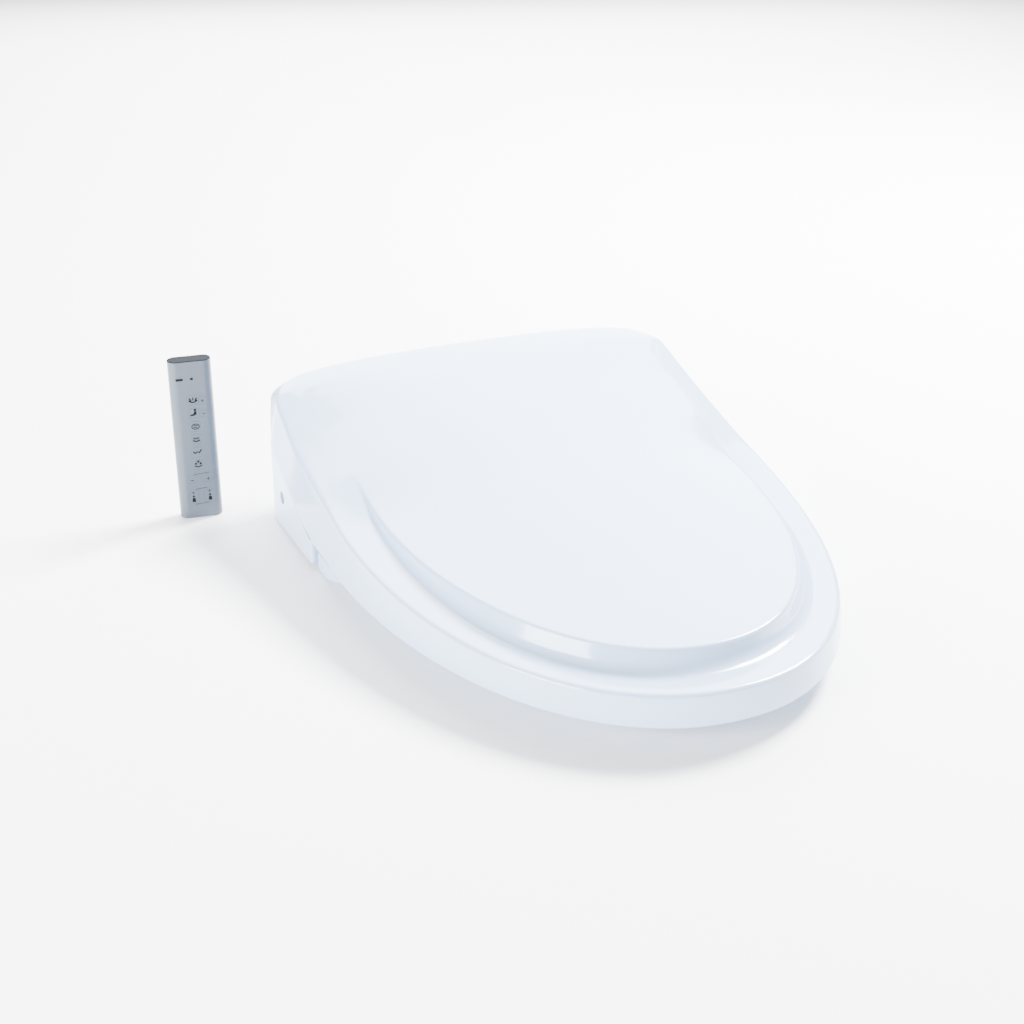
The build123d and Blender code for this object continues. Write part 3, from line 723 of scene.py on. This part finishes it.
    def outline(self) -> list[tuple[Plan, Plan]]:
        """Follow the lid's outer outline.

        Returns:
            Its points, each with its inward direction.
        """
        ring = self.rim_plan.ring()
        n = len(ring)
        out = []
        for i in range(n):
            before, after = Vector(ring[i - 1]), Vector(ring[(i + 1) % n])
            way = (after - before).normalized()
            out.append((ring[i], (way.y, -way.x)))
        middle = Vector((0.0, -150.0))
        fixed = []
        for p, d in out:
            towards = (middle - Vector(p)).dot(Vector(d))
            fixed.append((p, d if towards > 0 else (-d[0], -d[1])))
        return fixed

    def rings(self) -> list[list[Point]]:
        """Every ring of the shell, from the middle of the top out, round the edge and back inside.

        Returns:
            Closed rings of equal count.
        """
        outline = self.outline()
        raised = self.raised_plan.ring()
        n = len(outline)
        crease = []
        for (x, y), (dx, dy) in outline:
            inset = self.flare(y)
            crease.append((x + dx * inset, y + dy * inset))
        front, back = self.spine
        spine = [(0.0, min(max(y, front), back)) for _, y in raised]

        def inner_ring(share: float, lower: float) -> list[Point]:
            """A ring on the raised middle.

            Args:
                share: How far it lies from the raised edge to the spine.
                lower: How far under the top it lies.

            Returns:
                The ring's points.
            """
            ring = []
            for (px, py), (sx, sy) in zip(raised, spine):
                x, y = mix(px, sx, share), mix(py, sy, share)
                ring.append((x, y, self.top(x, y, 1.0) - lower))
            return ring

        def channel_ring(distance: float, lower: float) -> list[Point]:
            """A ring outside the raised edge, down the step's wall and out over the rim.

            Args:
                distance: How far outside the raised edge it lies.
                lower: How far under the top it lies.

            Returns:
                The ring's points.
            """
            ring = []
            for (px, py), (cx, cy) in zip(raised, crease):
                gap = math.hypot(cx - px, cy - py)
                share = min(distance / gap, 1.0)
                x, y = mix(px, cx, share), mix(py, cy, share)
                fade = smooth(*self.step_fade, y)
                edge = self.raised(px, py)
                rim = self.crease(y)
                step = max(edge - self.crease(py), 0.0)
                scale = step / self.total_fall()
                fallen = self.fall(distance, self.full_step * scale) if step > 0.3 else step * share
                height = edge + (rim - self.crease(py)) - min(fallen, step)
                if step <= 0.3:
                    height = mix(edge, rim, smooth(0.0, 1.0, share))
                ring.append((x, y, mix(height, self.crown(x, y), fade) - lower))
            return ring

        def rim_ring(inward: float, drop: float, lower: float = 0.0) -> list[Point]:
            """A ring near the crease.

            Args:
                inward: How far inside the crease it lies.
                drop: How far the crease's rounding has fallen there.
                lower: How far under the top it lies.

            Returns:
                The ring's points.
            """
            ring = []
            for (cx, cy), (_, (dx, dy)) in zip(crease, outline):
                x, y = cx + dx * inward, cy + dy * inward
                ring.append((x, y, self.top(x, y, 0.0) - drop - lower))
            return ring

        def skirt_ring(share: float, inward: float, rise: float) -> list[Point]:
            """A ring on the skirt.

            Args:
                share: How far down it lies, from just under the crease to the lower edge.
                inward: How far inside the skirt's outer face it lies.
                rise: How far it is lifted.

            Returns:
                The ring's points.
            """
            ring = []
            for (cx, cy), ((lx, ly), (dx, dy)) in zip(crease, outline):
                high = self.top(cx, cy, 0.0) - self.under_crease
                low = self.edge_height(lx, ly)
                bulge = self.skirt_bulge * math.sin(math.pi * share)
                x = mix(cx, lx, share) + dx * (inward - bulge)
                y = mix(cy, ly, share) + dy * (inward - bulge)
                ring.append((x, y, mix(high, low, share) + rise))
            return ring

        rings = [inner_ring(share, 0.0) for share in self.top_shares]
        rings += [self.edge_lip(raised, spine, inward, lower) for inward, lower in self.lip_round]
        rings += [channel_ring(run, 0.0) for run in self.channel_runs]
        rings += [rim_ring(inward, drop) for inward, drop in self.rim_round]
        rings += [skirt_ring(share, 0.0, 0.0) for share in self.skirt_shares]
        rings += [skirt_ring(1.0, inward, rise) for inward, rise in self.foot_round]
        rings += [skirt_ring(share, self.skirt_wall, 0.0) for share in self.skirt_back]
        rings += [rim_ring(inward, 0.0, self.wall) for inward in self.rim_back]
        rings += [channel_ring(run, self.wall) for run in self.channel_back]
        rings += [inner_ring(share, self.wall) for share in self.top_back]
        assert all(len(ring) == n for ring in rings)
        return rings

    def edge_lip(self, raised: list[Plan], spine: list[Plan], inward: float, lower: float) -> list[Point]:
        """A ring just inside the raised edge, rounding it off.

        Args:
            raised: The raised edge's plan.
            spine: The matching points on the spine.
            inward: Distance inside the edge.
            lower: How far it is rounded down.

        Returns:
            The ring.
        """
        ring = []
        for (px, py), (sx, sy) in zip(raised, spine):
            share = inward / math.hypot(sx - px, sy - py)
            x, y = mix(px, sx, share), mix(py, sy, share)
            fade = smooth(*self.step_fade, y)
            ring.append((x, y, self.top(x, y, 1.0) - lower * (1 - fade)))
        return ring

    def knuckles(self) -> list[bpy.types.Object]:
        """The two hinge knuckles that hang under the rear of the lid.

        Returns:
            One object for each side.
        """
        y, z = HINGE
        near, far = self.knuckle_faces
        profile = []
        for i in range(25):
            a = math.pi + math.pi * i / 24
            profile.append((y + KNUCKLE * math.cos(a), z + KNUCKLE * math.sin(a)))
        profile += self.knuckle_root
        return [pierced_plate(name, profile, circle(y, z, BORE), side * near, side * far)
                for side, name in ((-1, "lid_knuckle_left"), (1, "lid_knuckle_right"))]

    def build(self, palette: Palette) -> None:
        """Make the lid and hand it to its body.

        Args:
            palette: The finishes.
        """
        shell = make_mesh("lid", *loops(self.rings()), sharp_deg=60.0)
        for piece in (shell, *self.knuckles()):
            dress(piece, palette[WHITE_ABS], "lid", ["lid_shell"])


# ------------------------------------------------------------------ seat
@dataclass(frozen=True)
class Seat:
    """The seat ring: rounded all round, dished towards the bowl, with two hinge arms."""

    inset: float = 4.2  # how far it stands inside the lid's outline
    rear: float = -104.0  # its rear edge, and the radius of its rear corners
    corner: float = 9.0
    bowl: tuple[float, float, float, float] = (0.0, -265.0, 103.0, 143.0)  # centre x, y and half widths
    low: float = 16.5
    top: Curve = Curve((-470, 37.0), (-377, 39.2), (-295, 43.8), (-192, 53.8), (-140, 61.0), (-100, 67.0))
    notch: Point = (60.0, -130.0, 46.0)  # half width, front and height of the room left for the case
    full_round: float = 44.0  # a ring narrower than this has its rounding drawn in proportion
    dish: tuple[float, ...] = (0.35, 0.55, 0.72)  # shares of the way in at which it falls towards the bowl
    arm_faces: Plan = (160.0, 168.0)
    arm_lower: Curve = Curve((-118, 42), (-104, 42), (-50, 51.5), (-20, 66), (4, 84))
    arm_upper: Curve = Curve((-118, 58), (-104, 64), (-50, 80), (-20, 92), (5, 103.4))
    # rounded edges of the top, as (inward, lower)
    outer_round: tuple[Plan, ...] = ((0.0, 11.0), (0.4, 7.6), (1.5, 4.9), (3.3, 2.8), (5.8, 1.2), (9.0, 0.3),
                                     (13.0, 0.0))
    inner_round: tuple[Plan, ...] = ((22.0, 1.0), (14.0, 2.2), (8.5, 4.2), (4.6, 6.8), (1.9, 10.0),
                                     (0.4, 13.6), (0.0, 17.0))

    def outline(self) -> list[Plan]:
        """Follow the ring's outer outline.

        Returns:
            Its points, from the middle of its rear edge.
        """
        side = []
        for (x, y), (dx, dy) in Lid().outline():
            px, py = x + dx * self.inset, y + dy * self.inset
            if px >= 0 and py < self.rear - self.corner:
                side.append((px, py))
        edge = side[0][0]
        half = [((edge - self.corner) * i / 24, self.rear) for i in range(24)]
        for i in range(9):
            a = math.pi / 2 * (1 - i / 8)
            half.append((edge - self.corner + self.corner * math.cos(a),
                         self.rear - self.corner + self.corner * math.sin(a)))
        return mirrored(half + side[1:])

    def under(self, x: float, y: float) -> float:
        """Height of the underside, raised where the case's middle passes below.

        Args:
            x: Across.
            y: Along.

        Returns:
            The height.
        """
        wide, front, high = self.notch
        inside = (1 - smooth(wide - 1.0, wide + 3.0, abs(x))) * smooth(front - 3.0, front + 1.0, y)
        return mix(self.low, high, inside)

    def rings(self) -> list[list[Point]]:
        """Every ring of the seat.

        Returns:
            Rings from the underside's outer edge up, over the top, down into the bowl and back below.
        """
        cx, cy, rx, ry = self.bowl
        pairs = []
        for x, y in self.outline():
            a = math.atan2((y - cy) / ry, (x - cx) / rx)
            inner = Vector((cx + rx * math.cos(a), cy + ry * math.sin(a)))
            outer = Vector((x, y))
            span = inner - outer
            pairs.append((outer, inner, span.normalized() * min(1.0, span.length / self.full_round)))

        def ring(place: Callable[[Vector, Vector, Vector], Vector],
                 height: Callable[[float, float], float]) -> list[Point]:
            """One ring.

            Args:
                place: Gives the plan point from (outer, inner, way in).
                height: Gives the height from x and y.

            Returns:
                The ring's points.
            """
            out = []
            for outer, inner, way in pairs:
                p = place(outer, inner, way)
                out.append((p.x, p.y, height(p.x, p.y)))
            return out

        rings = [ring(lambda o, i, w: o + w * 3.0, lambda x, y: self.under(x, y)),
                 ring(lambda o, i, w: o + w * 0.9, lambda x, y: self.under(x, y) + 0.8),
                 ring(lambda o, i, w: o, lambda x, y: self.under(x, y) + 3.0)]
        for inward, drop in self.outer_round:
            rings.append(ring(lambda o, i, w, d=inward: o + w * d, lambda x, y, f=drop: self.top(y) - f))
        for share in self.dish:
            rings.append(ring(lambda o, i, w, s=share: (o + w * 13.0).lerp(i - w * 22.0, s),
                              lambda x, y, s=share: self.top(y) - s * s))
        for outward, drop in self.inner_round:
            rings.append(ring(lambda o, i, w, d=outward: i - w * d, lambda x, y, f=drop: self.top(y) - f))
        rings.append(ring(lambda o, i, w: i, lambda x, y: min(self.under(x, y) + 3.0, self.top(y) - 17.5)))
        rings.append(ring(lambda o, i, w: i - w * 0.9,
                          lambda x, y: min(self.under(x, y) + 0.8, self.top(y) - 18.0)))
        for share in (0.03, 0.3, 0.6, 0.85):
            rings.append(ring(lambda o, i, w, s=share: i.lerp(o + w * 3.0, s), lambda x, y: self.under(x, y)))
        rings.append(rings[0])
        return rings

    def arm_profile(self) -> list[Plan]:
        """Side view of a hinge arm, ending in its round knuckle.

        Returns:
            A closed outline, as (y, z).
        """
        axis_y, axis_z = HINGE
        low = [(y, self.arm_lower(y)) for y in range(-112, 4, 4)]
        knuckle = []
        for i in range(25):
            a = math.radians(-118 + 238 * i / 24)
            knuckle.append((axis_y + KNUCKLE * math.cos(a), axis_z + KNUCKLE * math.sin(a)))
        high = [(y, self.arm_upper(y)) for y in range(2, -116, -4)]
        return low + knuckle + high

    def build(self, palette: Palette) -> None:
        """Make the ring and its arms.

        Args:
            palette: The finishes.
        """
        ring = make_mesh("seat_ring", *loops(self.rings()), sharp_deg=50.0)
        dress(ring, palette[SEAT_PP], "seat", ["seat_top", "seat_base"])
        near, far = self.arm_faces
        for side, name in ((-1, "seat_arm_left"), (1, "seat_arm_right")):
            arm = pierced_plate(name, self.arm_profile(), circle(*HINGE, BORE), side * near, side * far)
            dress(arm, palette[SEAT_PP], "seat", ["seat_top"])


# ------------------------------------------------------------------ repeated ribs
class RibRow:
    """A geometry-node tree that repeats one soft-edged rib in a row."""

    INPUTS = (("Count", "NodeSocketInt"), ("Step", "NodeSocketVector"), ("Rib size", "NodeSocketVector"),
              ("First", "NodeSocketVector"), ("Turn", "NodeSocketVector"), ("Softness", "NodeSocketInt"),
              ("Finish", "NodeSocketMaterial"))

    def __init__(self) -> None:
        """Build the tree once."""
        tree = bpy.data.node_groups.new("rib row", "GeometryNodeTree")
        self.tree = tree
        for name, kind in self.INPUTS:
            tree.interface.new_socket(name, in_out="INPUT", socket_type=kind)
        tree.interface.new_socket("Geometry", in_out="OUTPUT", socket_type="NodeSocketGeometry")
        given = tree.nodes.new("NodeGroupInput").outputs
        rib = add_node(tree, "GeometryNodeMeshCube", {}, {"Size": given["Rib size"]})
        soft = add_node(tree, "GeometryNodeSubdivisionSurface", {"Edge Crease": 0.72},
                        {"Mesh": rib.outputs["Mesh"], "Level": given["Softness"]})
        row = add_node(tree, "GeometryNodeMeshLine", {},
                       {"Count": given["Count"], "Start Location": given["First"], "Offset": given["Step"]})
        placed = add_node(tree, "GeometryNodeInstanceOnPoints", {},
                          {"Points": row.outputs["Mesh"], "Instance": soft.outputs["Mesh"],
                           "Rotation": given["Turn"]})
        real = add_node(tree, "GeometryNodeRealizeInstances", {}, {"Geometry": placed.outputs["Instances"]})
        shade = add_node(tree, "GeometryNodeSetShadeSmooth", {}, {"Geometry": real.outputs["Geometry"]})
        wear = add_node(tree, "GeometryNodeSetMaterial", {},
                        {"Geometry": shade.outputs["Geometry"], "Material": given["Finish"]})
        add_node(tree, "NodeGroupOutput", {}, {"Geometry": wear.outputs["Geometry"]})

    def make(self, name: str, count: int, first: Point, step: Point, size: Point,
             material: bpy.types.Material, turn: Point = (0.0, 0.0, 0.0)) -> bpy.types.Object:
        """Make one row as a real mesh.

        Args:
            name: The piece's name.
            count: How many ribs.
            first: Centre of the first rib, in millimetres.
            step: From one rib to the next, in millimetres.
            size: Size of a rib, in millimetres.
            material: Its finish.
            turn: Rotation of each rib, in radians.

        Returns:
            The mesh object, with no modifier left.
        """
        holder = put(name + " source", bpy.data.meshes.new(name + " source"))
        modifier = holder.modifiers.new("row", "NODES")
        modifier.node_group = self.tree
        values = {"Count": count, "Step": [v * MM for v in step], "Rib size": [v * MM for v in size],
                  "First": [v * MM for v in first], "Turn": list(turn), "Softness": 3, "Finish": material}
        for item in self.tree.interface.items_tree:
            if item.in_out == "INPUT":
                modifier[item.identifier] = values[item.name]
        graph = bpy.context.evaluated_depsgraph_get()
        mesh = bpy.data.meshes.new_from_object(holder.evaluated_get(graph), depsgraph=graph)
        bpy.data.objects.remove(holder)
        mesh.name = name
        return put(name, mesh)


# ------------------------------------------------------------------ case
@dataclass(frozen=True)
class Case:
    """Small moulded and machined details on the case."""

    inlet_face: Point = (-145.0, 25.0, 30.0)  # where the inlet's axis leaves the back
    crest: float = 10.36  # radii of the inlet's thread, bore and collar
    root: float = 9.55
    bore: float = 6.0
    collar: float = 13.0
    pitch: float = 1.8
    turns: int = 6
    vent_x: float = 62.0  # middle of each row of ribs on the back

    def inlet(self, palette: Palette) -> None:
        """Make the brass inlet with its thread, collar and bore.

        Args:
            palette: The finishes.
        """
        bore, collar, crest, root = self.bore, self.collar, self.crest, self.root
        profile = [(2.0, bore), (14.0, bore), (14.0, 9.0), (13.4, 9.6)]
        for i in range(self.turns):
            start = 13.0 - self.pitch * i
            profile += [(start, crest), (start - 0.5, crest), (start - 0.9, root), (start - 1.3, root)]
        profile += [(2.0, 9.5), (2.0, 12.6), (1.7, collar), (0.3, collar), (0.0, 12.7), (0.0, 10.3),
                    (-12.0, 10.3), (-12.0, bore), (2.0, bore)]
        rings = []
        x, y, z = self.inlet_face
        for along, radius in profile:
            rings.append([(x + a, y + along, z + b) for a, b in circle(0.0, 0.0, radius, 72)])
        inlet = make_mesh("water_inlet_thread", *loops(rings), merge=0.001)
        dress(inlet, palette[BRASS], "case", ["water_inlet"])

    def ribs(self, palette: Palette, row: RibRow) -> None:
        """Cooling ribs on the back and a grip on the release button.

        Args:
            palette: The finishes.
            row: The tree that repeats ribs.
        """
        for name, x in (("rear_ribs_left", -self.vent_x), ("rear_ribs_right", self.vent_x)):
            ribs = row.make(name, 9, (x - 28.0, 24.9, 52.0), (7.0, 0.0, 0.0), (3.2, 1.4, 26.0),
                            palette[WHITE_ABS])
            dress(ribs, palette[WHITE_ABS], "case")
        grip = row.make("button_grip", 5, (194.1, -4.0, 16.5), (0.0, 3.0, 0.0), (0.7, 1.2, 5.6),
                        palette[WHITE_ABS])
        dress(grip, palette[WHITE_ABS], "release_button")

    def build(self, palette: Palette, row: RibRow) -> None:
        """Add every detail.

        Args:
            palette: The finishes.
            row: The tree that repeats ribs.
        """
        self.inlet(palette)
        self.ribs(palette, row)


# ------------------------------------------------------------------ remote
@dataclass(frozen=True)
class Remote:
    """The hand remote: keys that nearly fill their holes, and their printed symbols."""

    foot: Point = (-251.1, 40.8, 0.0)
    turn: float = math.radians(-6.0)
    face: float = -7.3  # depth of the front face, from the remote's middle
    key_back: float = -4.15
    ink_thick: float = 0.06
    key_growth: float = 0.23  # how far a key's face is drawn out towards its hole

    def place(self, across: float, depth: float, height: float) -> Point:
        """A point of the remote, in the object's own frame.

        Args:
            across: Distance to the right of its middle.
            depth: Distance behind its middle.
            height: Distance above the floor.

        Returns:
            The point, in millimetres.
        """
        c, s = math.cos(self.turn), math.sin(self.turn)
        return (self.foot[0] + across * c - depth * s, self.foot[1] + across * s + depth * c, height)

    def local_box(self, node: str) -> tuple[float, float, float, float]:
        """Measure a CAD node of the remote.

        Args:
            node: The node's name.

        Returns:
            Its left, right, bottom and top on the face, in millimetres.
        """
        c, s = math.cos(self.turn), math.sin(self.turn)
        across, height = [], []
        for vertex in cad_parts[node].data.vertices:
            x, y = vertex.co.x / MM - self.foot[0], vertex.co.y / MM - self.foot[1]
            across.append(x * c + y * s)
            height.append(vertex.co.z / MM)
        return min(across), max(across), min(height), max(height)

    def plate(self, name: str, outlines: Sequence[Sequence[Plan]], near: float,
              far: float) -> bpy.types.Object:
        """Flat pieces between two depths, from closed outlines on the face.

        Args:
            name: The piece's name.
            outlines: Closed lines as (across, height).
            near: Depth of the front.
            far: Depth of the back.

        Returns:
            The object.
        """
        verts: list[Point] = []
        faces: list[list[int]] = []
        for line in outlines:
            start, n = len(verts), len(line)
            verts += [self.place(a, near, h) for a, h in line]
            verts += [self.place(a, far, h) for a, h in line]
            faces.append([start + i for i in range(n)])
            faces.append([start + n + i for i in reversed(range(n))])
            for i in range(n):
                j = (i + 1) % n
                faces.append([start + i, start + n + i, start + n + j, start + j])
        return make_mesh(name, verts, faces, merge=0.0005, sharp_deg=30.0)

    def keys(self, palette: Palette) -> None:
        """Make a face for each key, so close to its hole that only a hairline shows.

        Args:
            palette: The finishes.
        """
        for name in sorted(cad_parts):
            if not name.startswith("key_"):
                continue
            left, right, low, high = self.local_box(name)
            grow = self.key_growth
            radius = min(right - left, high - low) / 4
            line = rounded(left - grow, right + grow, low - grow, high + grow, radius)
            face = self.plate(name + "_face", [line], self.face, self.key_back)
            dress(face, palette[REMOTE_PAINT], name, [name])

    def symbols(self) -> dict[str, tuple[str, list[list[Plan]]]]:
        """Draw every printed symbol.

        Returns:
            For each symbol's name, the body that carries it and its outlines.
        """
        fan = [stroke([(-3.2, 112.6), (-1.6, 110.2)], 1.1), stroke([(0.0, 113.2), (0.0, 110.4)], 1.0),
               stroke([(3.2, 112.6), (1.6, 110.2)], 1.1),
               stroke([(-3.6, 110.4), (-1.6, 109.0), (0.0, 108.6), (1.6, 109.0), (3.6, 110.4)], 1.2)]
        figure = [circle(1.0, 101.6, 1.2, 20),
                  [(0.2, 100.2), (2.0, 100.2), (2.2, 97.6), (-0.2, 96.4), (-3.4, 96.2), (-3.2, 97.4),
                   (-0.4, 98.0)]]
        oval = [stroke([(0.3 + 3.2 * math.cos(a / 12 * math.pi), 86.2 + 2.4 * math.sin(a / 12 * math.pi))
                        for a in range(25)], 0.8),
                stroke([(-1.4, 87.0), (2.0, 87.0)], 0.8), stroke([(-1.4, 85.4), (2.0, 85.4)], 0.8)]
        spray = [stroke([(-2.6 + 1.3 * i, 76.2), (-1.6 + 0.8 * i, 74.4)], 0.7) for i in range(5)]
        spray.append(stroke([(-3.0, 73.4), (0.0, 72.4), (3.2, 73.4)], 1.2))
        wave = [stroke([(-3.4, 63.2), (-1.8, 61.2), (-0.2, 62.8), (1.4, 61.4), (3.6, 64.6)], 1.2)]
        drops = [circle(-2.0, 51.6, 1.0, 18), circle(2.0, 51.6, 1.0, 18),
                 [(-1.5, 54.4), (1.7, 54.4), (0.1, 51.8)],
                 stroke([(-3.2, 49.6), (0.0, 48.4), (3.2, 49.6)], 1.1)]
        lines = [stroke([(-4.4, 41.6), (9.0, 42.4)], 0.4), stroke([(-4.0, 27.5), (6.0, 28.2)], 0.4),
                 stroke([(-5.0, 13.2), (6.5, 13.8)], 0.35)]
        on_keys = {
            "rear_wash": fan, "front_wash": figure, "wide_wash": oval, "pulse": spray, "dryer": wave,
            "stop": drops,
            "pressure_up": plus(7.9, 109.4, 1.3),
            "pressure_down": [stroke([(7.0, 97.4), (9.6, 97.4)], 0.6)],
            "warmer_less": [stroke([(-7.8, 36.2), (-5.2, 36.2)], 0.6)],
            "warmer_more": plus(7.6, 36.6, 1.5),
            "wand_back": [circle(-6.5, 24.4, 0.8, 16), *self.person(-6.4, 17.9)],
            "wand_forward": [circle(7.7, 24.7, 0.8, 16), *self.person(7.8, 18.2)],
        }
        drawn = {"symbol_" + key: ("key_" + key, outlines) for key, outlines in on_keys.items()}
        return drawn | {"printed_lines": ("remote", lines)}

    def person(self, across: float, height: float) -> list[list[Plan]]:
        """A small seated figure.

        Args:
            across: Its middle.
            height: Its waist.

        Returns:
            The outlines of its head and body.
        """
        return [circle(across, height + 3.0, 0.95, 18),
                [(across - 1.5, height - 2.2), (across + 1.7, height - 2.2), (across + 1.3, height + 1.0),
                 (across + 0.3, height + 1.8), (across - 1.0, height + 1.2)]]

    def build(self, palette: Palette, row: RibRow) -> None:
        """Make the key faces, the symbols and the door's grip.

        Args:
            palette: The finishes.
            row: The tree that repeats ribs.
        """
        self.keys(palette)
        for name, (body, outlines) in self.symbols().items():
            ink = self.plate(name, outlines, self.face - self.ink_thick, self.face + 0.02)
            dress(ink, palette[INK], body)
        first = self.place(0.0, 7.3, 88.0)
        ribs = row.make("door_grip", 5, first, (0.0, 0.0, -2.2), (9.0, 0.5, 1.0), palette[REMOTE_PAINT],
                        (0.0, 0.0, self.turn))
        dress(ribs, palette[REMOTE_PAINT], "battery_door")


# ------------------------------------------------------------------ studio
@dataclass(frozen=True)
class Panel:
    """One square soft light, in metres and watts."""

    name: str
    place: Point
    aim: Point
    side: float
    power: float


@dataclass(frozen=True)
class Studio:
    """Floor, soft lights and camera."""

    eye: Point = (-0.5326, -1.3099, 0.6428)
    azimuth: float = -23.26
    elevation: float = 25.37
    lens: float = 59.4
    floor_half: float = 6000.0
    floor_level: float = -0.3
    sky: str = "#f7faff"
    sky_strength: float = 0.6
    panels: tuple[Panel, ...] = (
        Panel("key", (1.4, 0.3, 1.7), (0.0, -0.2, 0.0), 0.75, 430.0),
        Panel("back softbox", (0.8, 2.0, 1.5), (0.0, -0.2, 0.0), 2.5, 300.0),
        Panel("low fill", (-2.2, -0.9, 0.62), (0.0, -0.2, 0.05), 1.2, 230.0),
    )

    def build(self, palette: Palette) -> None:
        """Make the floor, the lights and the camera.

        Args:
            palette: The finishes.
        """
        self.floor(palette)
        self.lights()
        self.camera()

    def floor(self, palette: Palette) -> None:
        """Lay a wide pale floor just under what the unit stands on.

        Args:
            palette: The finishes.
        """
        half, z = self.floor_half, self.floor_level
        ring = [(-half, -half, z), (half, -half, z), (half, half, z), (-half, half, z)]
        floor = make_mesh("studio_floor", ring, [[0, 1, 2, 3]], recalc=False)
        floor.data.materials.append(palette[PALE_FLOOR])

    def lights(self) -> None:
        """A bright even sky and large soft panels."""
        world = bpy.data.worlds.new("studio")
        bpy.context.scene.world = world
        world.use_nodes = True
        tree = world.node_tree
        tree.nodes.clear()
        sky = add_node(tree, "ShaderNodeBackground",
                       {"Color": linear(self.sky), "Strength": self.sky_strength})
        add_node(tree, "ShaderNodeOutputWorld", {}, {"Surface": sky.outputs["Background"]})
        for panel in self.panels:
            data = bpy.data.lights.new(panel.name, "AREA")
            data.energy = panel.power
            data.size = panel.side
            light = put(panel.name, data)
            light.location = panel.place
            facing = Vector(panel.aim) - Vector(panel.place)
            light.rotation_euler = facing.to_track_quat("-Z", "Y").to_euler()

    def camera(self) -> None:
        """A level camera at the reference angle."""
        az, el = math.radians(self.azimuth), math.radians(self.elevation)
        forward = Vector((-math.sin(az) * math.cos(el), math.cos(az) * math.cos(el), -math.sin(el)))
        data = bpy.data.cameras.new("camera")
        data.lens = self.lens
        data.sensor_width = 36.0
        camera = put("camera", data)
        camera.location = self.eye
        camera.rotation_euler = forward.to_track_quat("-Z", "Y").to_euler()
        bpy.context.scene.camera = camera


def main() -> None:
    """Build every sub-assembly in order."""
    logging.basicConfig(level=logging.INFO, format="%(name)s %(message)s")
    palette = Palette()
    palette.dress_nodes()
    row = RibRow()
    Lid().build(palette)
    Seat().build(palette)
    Case().build(palette, row)
    Remote().build(palette, row)
    Studio().build(palette)


if __name__ == "__main__":
    main()
